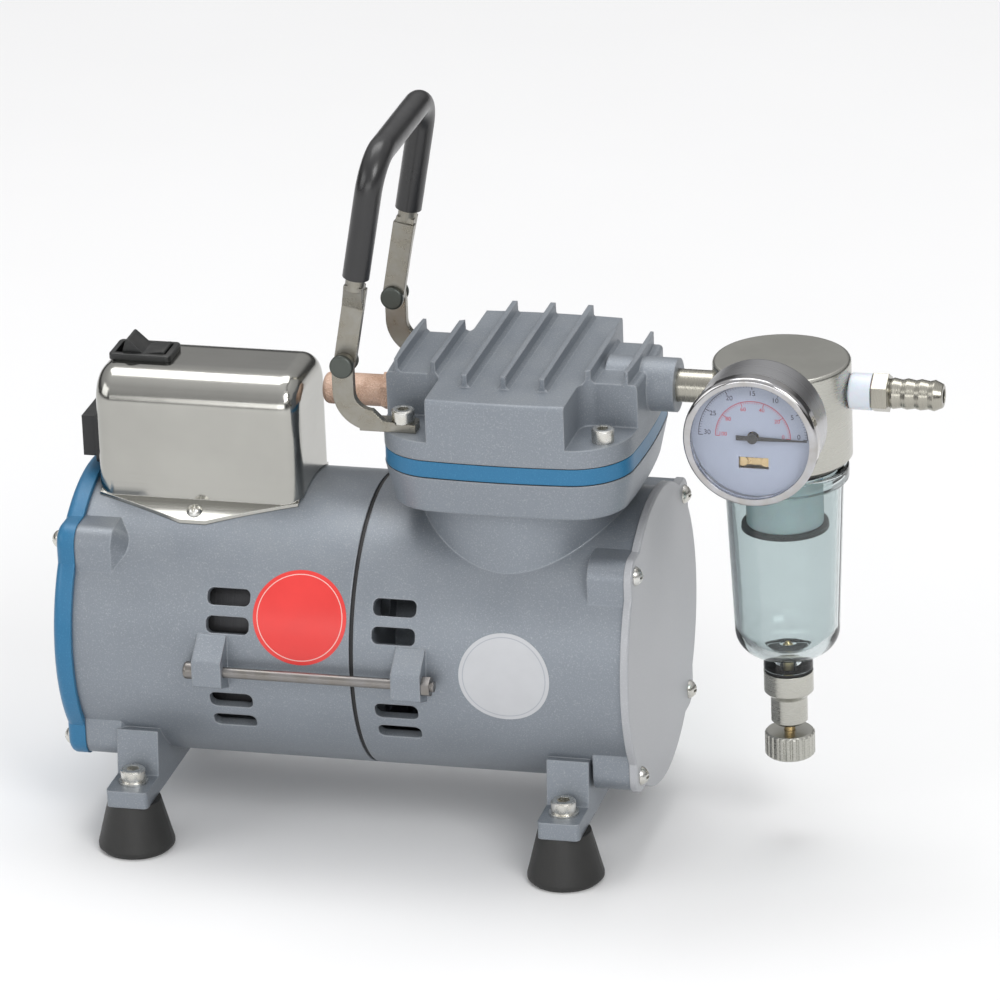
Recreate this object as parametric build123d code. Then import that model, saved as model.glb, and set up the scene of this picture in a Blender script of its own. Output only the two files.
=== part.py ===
"""Oil-free rocking-piston vacuum pump for the laboratory bench, with a liquid trap and a vacuum gauge.

Millimetres, +Z up, the floor at Z = 0. The motor lies along X, with the cylinder at the +X end and the
hose barb pointing along +X. The model is drawn about the middle of the four feet, and is moved at the end
so that the origin is under the middle of the whole object's box.
"""

from build123d import *
from math import atan2, cos, degrees, radians, sin
import os

# ---------------------------------------------------------------- clearances
FIT = 0.05            # screw, pin or bearing seated in its own hole, per side
RUN = 0.10            # turning fit, per side
GAP = 0.30            # between curved faces of pieces that move apart

# ---------------------------------------------------------------- barrel and feet
BARREL_R = 55.0
BARREL_WALL = 3.5
MOTOR_LENGTH = 107.6
CRANKCASE_LENGTH = 102.4
SEAM_X = 3.9          # joint between motor housing and crankcase
SEAM_GAP = 1.6        # thickness of the gasket in that joint
FOOT_HEIGHT = 19.8
FOOT_R = 14.4
FOOT_TOP_R = 10.0
FOOT_INSET_REAR = 20.7
FOOT_INSET_FRONT = 23.3
BARREL_LIFT = 2.0     # barrel above the underside of the leg pads
PAD_LENGTH = 16.0
PAD_THICK = 6.6
PAD_OVERHANG = 10.0   # pad beyond the foot's centre
COVER_SCREW_OUT = 1.57  # end-cover screws beyond the barrel's radius, on the diagonals
COVER_SCREW_R = 1.9
COVER_SCREW_DEPTH = 10.0
LOBE_MARGIN = 6.0     # side of the square lobes beyond those screws
LOBE_CORNER_R = 7.0
LOBE_LENGTH = 14.0
LOBE_TAPER = 6.0
COVER_RIM = 2.0       # end covers stand out from the barrel by this much
FOOT_SCREW_R = 2.5

REAR_X = SEAM_X - MOTOR_LENGTH
FRONT_X = SEAM_X + CRANKCASE_LENGTH
AXIS_Z = FOOT_HEIGHT + BARREL_LIFT + BARREL_R
BARREL_BORE = BARREL_R - BARREL_WALL
FOOT_X = (REAR_X + FOOT_INSET_REAR, FRONT_X - FOOT_INSET_FRONT)
FOOT_Y = BARREL_R
COVER_SCREW_OFFSET = (BARREL_R + COVER_SCREW_OUT) * sin(radians(45))
LOBE_HALF = COVER_SCREW_OFFSET + LOBE_MARGIN

# ---------------------------------------------------------------- end covers
REAR_COVER_THICK = 7.3
REAR_COVER_WALL = 3.0
REAR_COVER_EDGE_R = 3.0
FRONT_COVER_THICK = 3.0
FRONT_COVER_EDGE_R = 0.8
BEARING_R = 16.0
BEARING_WIDTH = 10.0
RACE_THICK = 2.6
BALL_COUNT = 8
BOSS_WALL = 4.0
SLOT_START = 5.0      # cooling slots of the rear cover, beyond the bearing boss
SLOT_END = 8.5        # and inside the bore
BULKHEAD_SETBACK = 3.0  # from the seam to the bulkhead that holds the front bearing
BULKHEAD_THICK = 4.5
BULKHEAD_HOLE_R = 7.0
FRONT_BOSS_LENGTH = 14.0

BOSS_R = BEARING_R + BOSS_WALL
BULKHEAD_X = SEAM_X + BULKHEAD_SETBACK
BEARING_X1 = BULKHEAD_X + FRONT_BOSS_LENGTH
REAR_BEARING_X0 = REAR_X - REAR_COVER_THICK + REAR_COVER_WALL

# ---------------------------------------------------------------- motor
SHAFT_R = 6.0
ROTOR_R = 24.0
AIR_GAP = 0.4
STATOR_RIB = 6.5      # from the stack to the bore
STATOR_SETBACK = 18.9  # from the seam to the stack
END_TURN_LENGTH = 11.0
FAN_SPACE = 7.5       # blade tips to the bore
FAN_SETBACK = 3.0     # from the rear bearing
FAN_TO_COIL = 7.0
FAN_LENGTH = 12.0
FAN_BLADES = 9
FAN_STUB_R = 5.0

STATOR_R = BARREL_BORE - STATOR_RIB
FAN_R = BARREL_BORE - FAN_SPACE
FAN_X0 = REAR_BEARING_X0 + BEARING_WIDTH + FAN_SETBACK
FRONT_FAN_X1 = FRONT_X - 6.0
STACK_X1 = SEAM_X - STATOR_SETBACK
STACK_X0 = FAN_X0 + FAN_LENGTH + FAN_TO_COIL + END_TURN_LENGTH

# ---------------------------------------------------------------- cylinder and head
CYLINDER_INSET = 46.3  # from the front end of the barrel to the cylinder's axis
BORE_R = 27.0
SLEEVE_WALL = 3.0
NECK_WALL = 10.0
NECK_RISE = 7.2        # flange underside above the top of the barrel
FLANGE_HALF = 48.0
FLANGE_BULGE = 3.0     # the sides of the flange are gentle arcs
FLANGE_CORNER_R = 22.0
FLANGE_HEIGHT = 14.2
FLANGE_DRAFT = 3.0
GASKET = 0.4
PLATE_THICK = 6.2
HEAD_HEIGHT = 23.8
HEAD_WALL = 5.0
HEAD_EDGE_R = 1.6
NOTCH_DEPTH_X = 22.0    # corner pockets, in from the sides of the head
NOTCH_DEPTH_Y = 27.0
NOTCH_FLOOR = 7.1      # above the underside of the head
FIN_COUNT = 7
FIN_EDGE = 4.2         # middle of the outer fins from the sides of the head
FIN_HEIGHT = 5.0
FIN_THICK = 2.2
HEAD_SCREW_EDGE_X = 10.5
HEAD_SCREW_EDGE_Y = 13.0
HEAD_SCREW_R = 2.5
HEAD_SCREW_HEAD_R = 4.2
HEAD_SCREW_HEAD = 5.0
HEAD_SCREW_DEPTH = 9.0

CRANK_THROW = 4.0
TOP_CLEARANCE = 0.7    # piston to valve plate at the top of the stroke
CLAMP_THICK = 3.4
CLAMP_SCREW_R = 2.5
SEAL_THICK = 1.2
PISTON_THICK = 5.0
CRANK_PIN_R = 8.0
CRANK_BEARING_R = 16.0
ROD_WIDTH = 14.0
ROD_EYE_WALL = 5.0
REED_THICK = 0.3
CHAMBER_NEAR = 2.5     # half of the wall between the two chambers of the head
CHAMBER_WALL = 4.0     # between a chamber and the corner pockets

CYL_X = FRONT_X - CYLINDER_INSET
NECK_R = BORE_R + SLEEVE_WALL + NECK_WALL
NOTCH_X = FLANGE_HALF - NOTCH_DEPTH_X
NOTCH_Y = FLANGE_HALF - NOTCH_DEPTH_Y
CHAMBER_FAR = NOTCH_X - CHAMBER_WALL
VALVE_X = 0.45 * (CHAMBER_NEAR + CHAMBER_FAR)
FIN_PITCH = 2 * (FLANGE_HALF - FIN_EDGE) / (FIN_COUNT - 1)
HEAD_SCREW_X = FLANGE_HALF - HEAD_SCREW_EDGE_X
HEAD_SCREW_Y = FLANGE_HALF - HEAD_SCREW_EDGE_Y
FLANGE_Z = AXIS_Z + BARREL_R + NECK_RISE
DECK_Z = FLANGE_Z + FLANGE_HEIGHT
PLATE_Z = DECK_Z + GASKET
PLATE_TOP_Z = PLATE_Z + PLATE_THICK
HEAD_Z = PLATE_TOP_Z + GASKET
HEAD_TOP_Z = HEAD_Z + HEAD_HEIGHT
NOTCH_Z = HEAD_Z + NOTCH_FLOOR
ROD_X0 = CYL_X - ROD_WIDTH / 2
ROD_X1 = CYL_X + ROD_WIDTH / 2
CRANK_Z = AXIS_Z + CRANK_THROW
CRANK_WEB_R = CRANK_THROW + CRANK_PIN_R + 1.0
PISTON_TOP_Z = PLATE_Z - TOP_CLEARANCE
PISTON_R = BORE_R - CRANK_THROW - GAP

# ---------------------------------------------------------------- ports, trap and hose barb
PORT_BOSS_R = 10.0
PORT_BOSS_LENGTH = 10.0
PORT_DROP = 7.2        # intake port below the top of the head
NIPPLE_R = 6.15
NIPPLE_LENGTH = 13.4
NIPPLE_INSERT = 7.0
TRAP_R = 25.4
TRAP_TOP_RISE = 13.0   # above the intake port
TRAP_HEIGHT = 39.0
TRAP_WALL = 5.4
BOWL_NECK_LENGTH = 9.0
BOWL_COLLAR_STEP = 1.4  # collar smaller than the trap head
BOWL_COLLAR = 6.0
BOWL_GAP = 1.9         # between head and bowl collar, filled by the O-ring
BOWL_STEP = 2.0        # body of the bowl smaller than its collar
BOWL_TAPER = 2.5
BOWL_LENGTH = 75.5     # from the head to the bottom of the bowl
BOWL_WALL = 2.0
BOWL_ROUND = 10.0
DRAIN_R = 9.25
DRAIN_NECK = 6.1
DRAIN_SEAL = 1.4
DRAIN_BODY_LENGTH = 21.0
DRAIN_TIP_R = 6.85
DRAIN_STEM_R = 2.0
KNOB_R = 9.35
KNOB_LENGTH = 9.6
KNOB_GAP = 3.5
BARB_RISE = 1.7        # barb axis above the intake port
COLLAR_R = 6.75
COLLAR_LENGTH = 8.3
BARB_HEX = 13.0
BARB_HEX_LENGTH = 6.2
BARB_R = 5.75
BARB_ROOT_R = 5.2
BARB_LENGTH = 20.1
BARB_RIDGES = 4
BARB_BORE_R = 2.6

SILENCER_R = 6.0
SILENCER_BOSS_R = 7.4
SILENCER_RISE = 7.6    # silencer's axis above the underside of the head
SILENCER_BOX_GAP = 5.5  # from the silencer to the switch box
FILTER_BOLT_R = 2.0
FILTER_DROP = 25.0      # filter below the trap head
FILTER_SPACE = 3.6
COLLAR_SPIGOT_R = 4.6
GAUGE_NIPPLE_R = 5.0

PORT_Z = HEAD_TOP_Z - PORT_DROP
BOSS_X = CYL_X + FLANGE_HALF + PORT_BOSS_LENGTH
TRAP_X = BOSS_X + NIPPLE_LENGTH + TRAP_R
TRAP_TOP_Z = PORT_Z + TRAP_TOP_RISE
TRAP_Z = TRAP_TOP_Z - TRAP_HEIGHT
BARB_Z = PORT_Z + BARB_RISE
TRAP_CHAMBER_R = TRAP_R - TRAP_WALL
NECK_BORE_R = TRAP_CHAMBER_R - RUN - BOWL_WALL
BOWL_COLLAR_R = TRAP_R - BOWL_COLLAR_STEP
BOWL_TOP_R = BOWL_COLLAR_R - BOWL_STEP
BOWL_BOTTOM_R = BOWL_TOP_R - BOWL_TAPER
COLLAR_TOP_Z = TRAP_Z - BOWL_GAP
BOWL_Z = TRAP_Z - BOWL_LENGTH - BOWL_GAP
NECK_Z = BOWL_Z - DRAIN_NECK
KNOB_TOP_Z = NECK_Z - DRAIN_SEAL - DRAIN_BODY_LENGTH - KNOB_GAP
KNOB_BASE_Z = KNOB_TOP_Z - KNOB_LENGTH
FILTER_TOP_Z = TRAP_TOP_Z - 16
FILTER_BASE_Z = TRAP_Z - FILTER_DROP
SILENCER_Z = HEAD_Z + SILENCER_RISE
SILENCER_X1 = CYL_X - FLANGE_HALF - 1

# ---------------------------------------------------------------- gauge
GAUGE_R = 24.75
BEZEL_STEP = 0.85      # bezel beyond the case
GAUGE_WALL = 1.2
GAUGE_DEPTH = 22.0
BEZEL_DEPTH = 5.5
BEZEL_LIP = 2.9
GAUGE_STANDOFF = 6.1   # trap head to the back of the case
LENS_THICK = 1.4
DIAL_SETBACK = 6.5
DIAL_THICK = 0.6
NEEDLE_SHORT = 4.75    # needle's point inside the bezel's rim
LENS_SETBACK = 1.3

GAUGE_BACK_Y = -(TRAP_R + GAUGE_STANDOFF)
GAUGE_FRONT_Y = GAUGE_BACK_Y - GAUGE_DEPTH - BEZEL_DEPTH / 2
DIAL_Y = GAUGE_FRONT_Y + DIAL_SETBACK
GAUGE_CASE_R = GAUGE_R - BEZEL_STEP
NEEDLE_LENGTH = GAUGE_R - NEEDLE_SHORT
LENS_Y = GAUGE_FRONT_Y + LENS_SETBACK

# ---------------------------------------------------------------- switch box
BOX_SETBACK = 2.2
BOX_SEAM_SETBACK = 26.4  # from the box to the seam
BOX_WIDTH = 44.0
BOX_RISE = 45.2        # top of the box above the barrel
BOX_EDGE_R = 13.0
BOX_CORNER_R = 7.0
BOX_SHEET = 1.0
LIP_THICK = 1.2
LIP_REACH = 9.0
SWITCH_LENGTH = 24.0
SWITCH_WIDTH = 16.0
SWITCH_INSET = 3.0     # from the left end of the box
SWITCH_RIM = 2.2
SWITCH_RIM_HEIGHT = 2.4
SWITCH_DEPTH = 15.0
ROCKER_TILT = 17.0
ROCKER_PIN_R = 1.2
INLET_WIDTH = 27.0
INLET_HEIGHT = 20.0
INLET_REACH = 8.0
INLET_RISE = 15.0      # inlet's centre above the barrel
BOX_SCREW_R = 1.5
CAPACITOR_SPACE = 2.0  # round the capacitor, below the switch and above the barrel

BOX_X0 = REAR_X + BOX_SETBACK
BOX_X1 = SEAM_X - BOX_SEAM_SETBACK
BOX_LENGTH = BOX_X1 - BOX_X0
BOX_TOP_Z = AXIS_Z + BARREL_R + BOX_RISE
LIP_R = BARREL_R + FIT
SWITCH_X = BOX_X0 + SWITCH_INSET + SWITCH_LENGTH / 2
SWITCH_BODY_LENGTH = SWITCH_LENGTH - 2.4
SWITCH_BODY_WIDTH = SWITCH_WIDTH - 2.4
ROCKER_Z = BOX_TOP_Z - 1.0
INLET_Z = AXIS_Z + BARREL_R + INLET_RISE
CAPACITOR_R = (BOX_RISE - SWITCH_DEPTH - LIP_THICK) / 2 - CAPACITOR_SPACE
SILENCER_LENGTH = SILENCER_X1 - SILENCER_BOX_GAP - BOX_X1

# ---------------------------------------------------------------- carry handle
PIVOT_SETBACK = 21.3   # from the rear head screws to the rivets
PIVOT_RISE = 8.2       # rivets above the top of the head
STRAP_WIDTH = 8.0
STRAP_THICK = 3.0
BRACKET_BEND_R = 6.7
RIVET_R = 2.5
RIVET_HEAD_R = 4.4
RIVET_HEAD = 2.0
HANDLE_HEIGHT = 81.0
HANDLE_LEAN = 10.5     # degrees towards the cylinder
ROD_R = 3.6
GRIP_R = 5.0
HANDLE_BEND_R = 13.0
GRIP_DROP = 46.0       # how far the grip runs down each leg
ROD_SPREAD = 3.0       # the round rod stands outside its flattened ends

PIVOT_X = CYL_X - HEAD_SCREW_X - PIVOT_SETBACK
PIVOT_Z = HEAD_TOP_Z + PIVOT_RISE
BRACKET_Y = HEAD_SCREW_Y + 1.0
LEG_Y = BRACKET_Y - GAP - STRAP_THICK / 2
BAIL_Y = LEG_Y + ROD_SPREAD

# ---------------------------------------------------------------- tie rods
LUG_LENGTH = 11.2
LUG_REACH = 9.0
LUG_FACE = 10.0
LUG_SLOPE = 8.4
LUG_X_REAR = REAR_X + 54.3
LUG_X_FRONT = SEAM_X + 22.9
ROD_OUT = 5.0          # tie rod's axis beyond the barrel
ROD_DROP = 0.8         # and below the shaft
TIE_ROD_R = 2.0
TIE_HEAD_R = 3.3
TIE_HEAD = 4.0

ROD_Y = BARREL_R + ROD_OUT
ROD_Z = AXIS_Z - ROD_DROP

# ---------------------------------------------------------------- vents
VENT_LENGTH = 16.5
VENT_HEIGHT = 6.5
VENT_END_R = 2.4
VENT_ANGLES = (-27.0, -16.0, 16.0, 27.0)
VENT_X = (REAR_X + 60.1, SEAM_X + 16.1)


# ---------------------------------------------------------------- shapes used throughout
BELOW = (Align.CENTER, Align.CENTER, Align.MAX)
ON_FLOOR = (Align.CENTER, Align.CENTER, Align.MIN)


def x_cylinder(radius, x0, x1, y=0.0, z=AXIS_Z):
    return Pos((x0 + x1) / 2, y, z) * Rot(0, 90, 0) * Cylinder(radius, x1 - x0)


def y_cylinder(radius, y0, y1, x, z):
    return Pos(x, (y0 + y1) / 2, z) * Rot(90, 0, 0) * Cylinder(radius, y1 - y0)


def z_cylinder(radius, z0, z1, x, y=0.0):
    return Pos(x, y, (z0 + z1) / 2) * Cylinder(radius, z1 - z0)


def block(x0, x1, y0, y1, z0, z1):
    return Pos((x0 + x1) / 2, (y0 + y1) / 2, (z0 + z1) / 2) * Box(x1 - x0, y1 - y0, z1 - z0)


def x_prism(sketch, x0, x1, y=0.0, z=AXIS_Z):
    """Pushes a sketch along +X; the sketch's own x points down and its y stays y."""
    return Pos(x0, y, z) * Rot(0, 90, 0) * extrude(sketch, x1 - x0)


def z_prism(sketch, z0, z1, x=0.0, y=0.0):
    return Pos(x, y, z0) * extrude(sketch, z1 - z0)


def turned(points, x, y=0.0):
    """A solid turned about a vertical axis from (radius, height) points."""
    profile = make_face(Plane.XZ * Polyline(*points, close=True))
    return Pos(x, y, 0) * revolve(profile, Axis.Z)


def cap_screw(radius, length, head_r, head):
    """A socket screw along -Z with the underside of its head at the origin."""
    body = Pos(0, 0, head / 2) * Cylinder(head_r, head) + Pos(0, 0, -length / 2) * Cylinder(radius, length)
    socket = Pos(0, 0, head * 0.45) * extrude(RegularPolygon(head_r * 0.55, 6), head)
    return chamfer(body.edges().filter_by(GeomType.CIRCLE).sort_by(Axis.Z)[-1], head_r * 0.12) - socket


def pan_screw(radius, length, head_r, head):
    """A domed cross-slot screw along -Z with the underside of its head at the origin."""
    sphere_r = (head_r**2 + head**2) / (2 * head)
    dome = Pos(0, 0, head - sphere_r) * Sphere(sphere_r) & Pos(0, 0, head / 2) * Cylinder(head_r, head)
    slot = Box(head_r * 1.1, head_r * 0.25, head) + Box(head_r * 0.25, head_r * 1.1, head)
    return dome + Pos(0, 0, -length / 2) * Cylinder(radius, length) - Pos(0, 0, head) * slot


# ---------------------------------------------------------------- castings of the barrel
def lobes(x0, x1):
    return x_prism(RectangleRounded(2 * LOBE_HALF, 2 * LOBE_HALF, LOBE_CORNER_R), x0, x1)


def lobe_taper(x_full, x_end):
    """The slanted back of the corner lobes, from their full size down to the barrel."""
    side = 2 * LOBE_HALF
    small = side - 2 * LOBE_TAPER
    step = Pos(x_full, 0, AXIS_Z) * Rot(0, 90, 0) * RectangleRounded(side, side, LOBE_CORNER_R)
    end = Pos(x_end, 0, AXIS_Z) * Rot(0, 90, 0) * RectangleRounded(small, small, LOBE_CORNER_R)
    return loft([step.face(), end.face()], ruled=True)


def leg(x):
    """One cross beam under the barrel, with a pad for a foot at each end."""
    reach = FOOT_Y + PAD_OVERHANG
    pad_z = FOOT_HEIGHT + PAD_THICK
    inner = FOOT_Y - PAD_OVERHANG + 4
    points = [(-reach, FOOT_HEIGHT), (reach, FOOT_HEIGHT), (reach, pad_z), (inner, pad_z)]
    points += [(inner - 2, AXIS_Z - 0.6 * BARREL_R), (2 - inner, AXIS_Z - 0.6 * BARREL_R)]
    points += [(-inner, pad_z), (-reach, pad_z)]
    beam = extrude(make_face(Plane.YZ * Polyline(*points, close=True)), PAD_LENGTH / 2, both=True)
    beam = fillet(beam.edges().filter_by(Axis.Z).group_by(Axis.Y)[0], 2.0)
    beam = fillet(beam.edges().filter_by(Axis.Z).group_by(Axis.Y)[-1], 2.0)
    holes = [z_cylinder(FOOT_SCREW_R + FIT, 0, pad_z + 1, 0, side * FOOT_Y) for side in (-1, 1)]
    return Pos(x, 0, 0) * (beam - holes)


def lug(x, side):
    """A sloping ear on the side of the barrel that holds one end of a tie rod."""
    out = BARREL_R + LUG_REACH
    root = BARREL_R - 2
    points = [(root, ROD_Z + LUG_FACE / 2 + LUG_SLOPE), (out, ROD_Z + LUG_FACE / 2)]
    points += [(out, ROD_Z - LUG_FACE / 2), (root, ROD_Z - LUG_FACE / 2 - 4)]
    points = [(side * y, z) for y, z in points]
    ear = extrude(make_face(Plane.YZ * Polyline(*points, close=True)), LUG_LENGTH / 2, both=True)
    ear = fillet(ear.edges().filter_by(Axis.X), 1.0)
    return Pos(x, 0, 0) * ear - x_cylinder(TIE_ROD_R + FIT, x - LUG_LENGTH, x + LUG_LENGTH, side * ROD_Y, ROD_Z)


def vents(x):
    """Two pairs of rounded slots on each side of the barrel."""
    slot = extrude(RectangleRounded(VENT_LENGTH, VENT_HEIGHT, VENT_END_R), 3 * BARREL_WALL, both=True)
    cuts = []
    for side in (0, 180):
        for angle in VENT_ANGLES:
            lift = Rot(90 + angle, 0, side)
            cuts.append(Pos(x, 0, AXIS_Z) * lift * Pos(0, 0, BARREL_R) * slot)
    return cuts


def cover_screw_places():
    return [(y, AXIS_Z + z) for y in (-COVER_SCREW_OFFSET, COVER_SCREW_OFFSET)
            for z in (-COVER_SCREW_OFFSET, COVER_SCREW_OFFSET)]


def head_screw_places():
    return [(CYL_X + x, y) for x in (-HEAD_SCREW_X, HEAD_SCREW_X) for y in (-HEAD_SCREW_Y, HEAD_SCREW_Y)]


def motor_housing():
    lobe_end = REAR_X + LOBE_LENGTH
    shell = x_cylinder(BARREL_R, REAR_X, SEAM_X - SEAM_GAP / 2)
    shell += lobes(REAR_X, lobe_end) + lobe_taper(lobe_end, lobe_end + LOBE_TAPER)
    shell += leg(FOOT_X[0]) + lug(LUG_X_REAR, -1) + lug(LUG_X_REAR, 1)
    shell -= x_cylinder(BARREL_BORE, REAR_X - 1, SEAM_X)
    rib = block(STACK_X0 - 2, STACK_X1 + 2, -3, 3, STATOR_R + FIT, BARREL_BORE + 1)
    shell += [Pos(0, 0, AXIS_Z) * Rot(turn, 0, 0) * rib for turn in (45, 135, 225, 315)]
    shell -= vents(VENT_X[0])
    for y, z in cover_screw_places():
        shell -= x_cylinder(COVER_SCREW_R + FIT, REAR_X - 1, REAR_X + COVER_SCREW_DEPTH, y, z)
    return shell


def flange_outline(half):
    """A square with gently bowed sides and round corners."""
    corner = half - FLANGE_BULGE
    ends = [(corner, corner), (-corner, corner), (-corner, -corner), (corner, -corner)]
    middles = [(0, half), (-half, 0), (0, -half), (half, 0)]
    arcs = [ThreePointArc(ends[i], middles[i], ends[(i + 1) % 4]) for i in range(4)]
    face = make_face(arcs)
    return fillet(face.vertices(), FLANGE_CORNER_R - (FLANGE_HALF - half))


def crankcase():
    lobe_start = FRONT_X - LOBE_LENGTH
    start_x = SEAM_X + SEAM_GAP / 2
    shell = x_cylinder(BARREL_R, start_x, FRONT_X)
    shell += lobes(lobe_start, FRONT_X)
    shell += leg(FOOT_X[1]) + lug(LUG_X_FRONT, -1) + lug(LUG_X_FRONT, 1)
    low = Pos(CYL_X, 0, FLANGE_Z) * flange_outline(FLANGE_HALF - FLANGE_DRAFT)
    high = Pos(CYL_X, 0, DECK_Z) * flange_outline(FLANGE_HALF)
    shell += z_cylinder(NECK_R, AXIS_Z, FLANGE_Z, CYL_X) + loft([low.face(), high.face()], ruled=True)
    shell -= x_cylinder(BARREL_BORE, start_x - 1, FRONT_X + 1)
    bulkhead_x1 = BULKHEAD_X + BULKHEAD_THICK
    hole_out = (BOSS_R + BARREL_BORE) / 2
    shell += x_cylinder(BARREL_BORE + 1, BULKHEAD_X, bulkhead_x1) + x_cylinder(BOSS_R, BULKHEAD_X, BEARING_X1)
    shell -= x_cylinder(BEARING_R + FIT, BEARING_X1 - BEARING_WIDTH, BEARING_X1 + 1)
    shell -= x_cylinder(SHAFT_R + 2, BULKHEAD_X - 1, BEARING_X1)
    for turn in range(0, 360, 60):
        shell -= Pos(0, 0, AXIS_Z) * Rot(turn, 0, 0) * Pos(0, 0, -AXIS_Z) * x_cylinder(
            BULKHEAD_HOLE_R, BULKHEAD_X - 1, bulkhead_x1 + 1, 0, AXIS_Z + hole_out)
    shell -= z_cylinder(BORE_R + SLEEVE_WALL + FIT, AXIS_Z, DECK_Z + 1, CYL_X)
    shell -= vents(VENT_X[1])
    for y, z in cover_screw_places():
        shell -= x_cylinder(COVER_SCREW_R + FIT, FRONT_X - COVER_SCREW_DEPTH, FRONT_X + 1, y, z)
    for x, y in head_screw_places():
        shell -= z_cylinder(HEAD_SCREW_R + FIT, DECK_Z - HEAD_SCREW_DEPTH, DECK_Z + 1, x, y)
    return shell


def seam_gasket():
    x0 = SEAM_X - SEAM_GAP / 2
    return x_cylinder(BARREL_R - 0.6, x0, x0 + SEAM_GAP) - x_cylinder(BARREL_BORE, x0 - 1, SEAM_X + SEAM_GAP)


def cover_plate(thick, edge_r):
    """A round plate with square lobes for its four screws, lying on the origin with its round edge up."""
    side = 2 * LOBE_HALF + 1.2
    outline = Circle(BARREL_R + COVER_RIM) + RectangleRounded(side, side, LOBE_CORNER_R + 0.6)
    plate = extrude(outline, thick)
    plate = fillet(plate.faces().sort_by(Axis.Z)[-1].outer_wire().edges(), edge_r)
    return plate - [Pos(y, z - AXIS_Z, 0) * Cylinder(COVER_SCREW_R + FIT, 3 * thick) for y, z in cover_screw_places()]


def rear_cover():
    x0 = REAR_X - REAR_COVER_THICK
    cover = Pos(REAR_X, 0, AXIS_Z) * Rot(0, -90, 0) * cover_plate(REAR_COVER_THICK, REAR_COVER_EDGE_R)
    cover -= x_cylinder(BARREL_BORE - 2, x0 + REAR_COVER_WALL, REAR_X + 1)
    cover += x_cylinder(BOSS_R, x0 + REAR_COVER_WALL - 1, REAR_BEARING_X0 + BEARING_WIDTH)
    cover -= x_cylinder(BEARING_R + FIT, REAR_BEARING_X0, REAR_X + BEARING_WIDTH)
    slot = block(x0 - 1, x0 + REAR_COVER_WALL + 1, -2.2, 2.2, BOSS_R + SLOT_START, BARREL_BORE - SLOT_END)
    for turn in range(0, 360, 20):
        cover -= Pos(0, 0, AXIS_Z) * Rot(turn, 0, 0) * fillet(slot.edges().filter_by(Axis.X), 2.0)
    return cover


def front_cover():
    return Pos(FRONT_X, 0, AXIS_Z) * Rot(0, 90, 0) * cover_plate(FRONT_COVER_THICK, FRONT_COVER_EDGE_R)


def cover_screws():
    screws = []
    for face_x, side, cover in ((REAR_X - REAR_COVER_THICK, -1, REAR_COVER_THICK),
                                (FRONT_X + FRONT_COVER_THICK, 1, FRONT_COVER_THICK)):
        screw = Rot(0, side * 90, 0) * pan_screw(COVER_SCREW_R, cover + COVER_SCREW_DEPTH - 2, 3.6, 2.8)
        screws += [Pos(face_x, y, z) * screw for y, z in cover_screw_places()]
    return screws


def tie_rods():
    """Each rod with its screw head at one end and its nut at the other."""
    x0 = LUG_X_REAR - LUG_LENGTH / 2
    x1 = LUG_X_FRONT + LUG_LENGTH / 2 + 4.5
    rods = []
    for side in (-1, 1):
        rod = x_cylinder(TIE_ROD_R, x0, x1, side * ROD_Y, ROD_Z)
        head = x_cylinder(TIE_HEAD_R, x0 - TIE_HEAD, x0, side * ROD_Y, ROD_Z)
        head = fillet(head.edges().group_by(Axis.X)[0], 1.2)
        nut_x = LUG_X_FRONT + LUG_LENGTH / 2
        nut = x_prism(RegularPolygon(TIE_HEAD_R + 0.6, 6), nut_x, nut_x + 3.2, side * ROD_Y, ROD_Z)
        rods.append(rod + head + nut)
    return rods


# ---------------------------------------------------------------- feet
def rubber_feet():
    rim = 1.5
    points = [(0, 0), (FOOT_R - rim, 0), (FOOT_R, rim), (FOOT_R, 2.6), (FOOT_TOP_R, FOOT_HEIGHT - FIT)]
    points += [(0, FOOT_HEIGHT - FIT)]
    foot = turned(points, 0) - Pos(0, 0, FOOT_HEIGHT) * Cylinder(FOOT_SCREW_R + FIT, 20)
    return [Pos(x, side * FOOT_Y, 0) * foot for x in FOOT_X for side in (-1, 1)]


def foot_screws():
    top = FOOT_HEIGHT + PAD_THICK
    washer = z_cylinder(5.6, top, top + 1.0, 0)
    screw = Pos(0, 0, top + 1.0) * cap_screw(FOOT_SCREW_R, PAD_THICK + 9.5, 4.65, 4.4)
    return [Pos(x, side * FOOT_Y, 0) * (screw + washer) for x in FOOT_X for side in (-1, 1)]


# ---------------------------------------------------------------- motor and crank
def stator_core():
    core = x_cylinder(STATOR_R, STACK_X0, STACK_X1) - x_cylinder(ROTOR_R + AIR_GAP, STACK_X0 - 1, STACK_X1 + 1)
    depth = STATOR_R - ROTOR_R
    slot = x_prism(RectangleRounded(0.43 * depth, 4, 1.5), STACK_X0 - 1, STACK_X1 + 1, 0, ROTOR_R + 0.38 * depth)
    for turn in range(0, 360, 30):
        core -= Pos(0, 0, AXIS_Z) * Rot(turn, 0, 0) * slot
    return core


def stator_windings():
    coils = []
    for x0, x1 in ((STACK_X0 - END_TURN_LENGTH, STACK_X0), (STACK_X1, STACK_X1 + END_TURN_LENGTH)):
        ring = x_cylinder(STATOR_R - 4, x0, x1) - x_cylinder(ROTOR_R + 3, x0 - 1, x1 + 1)
        coils.append(fillet(ring.edges(), min(3.0, 0.4 * (STATOR_R - ROTOR_R - 7))))
    return coils


def rotor():
    body = x_cylinder(ROTOR_R, STACK_X0, STACK_X1)
    body += x_cylinder(ROTOR_R - 2, STACK_X0 - 5, STACK_X0) + x_cylinder(ROTOR_R - 2, STACK_X1, STACK_X1 + 5)
    return body - x_cylinder(SHAFT_R + FIT, STACK_X0 - 6, STACK_X1 + 6)


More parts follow.
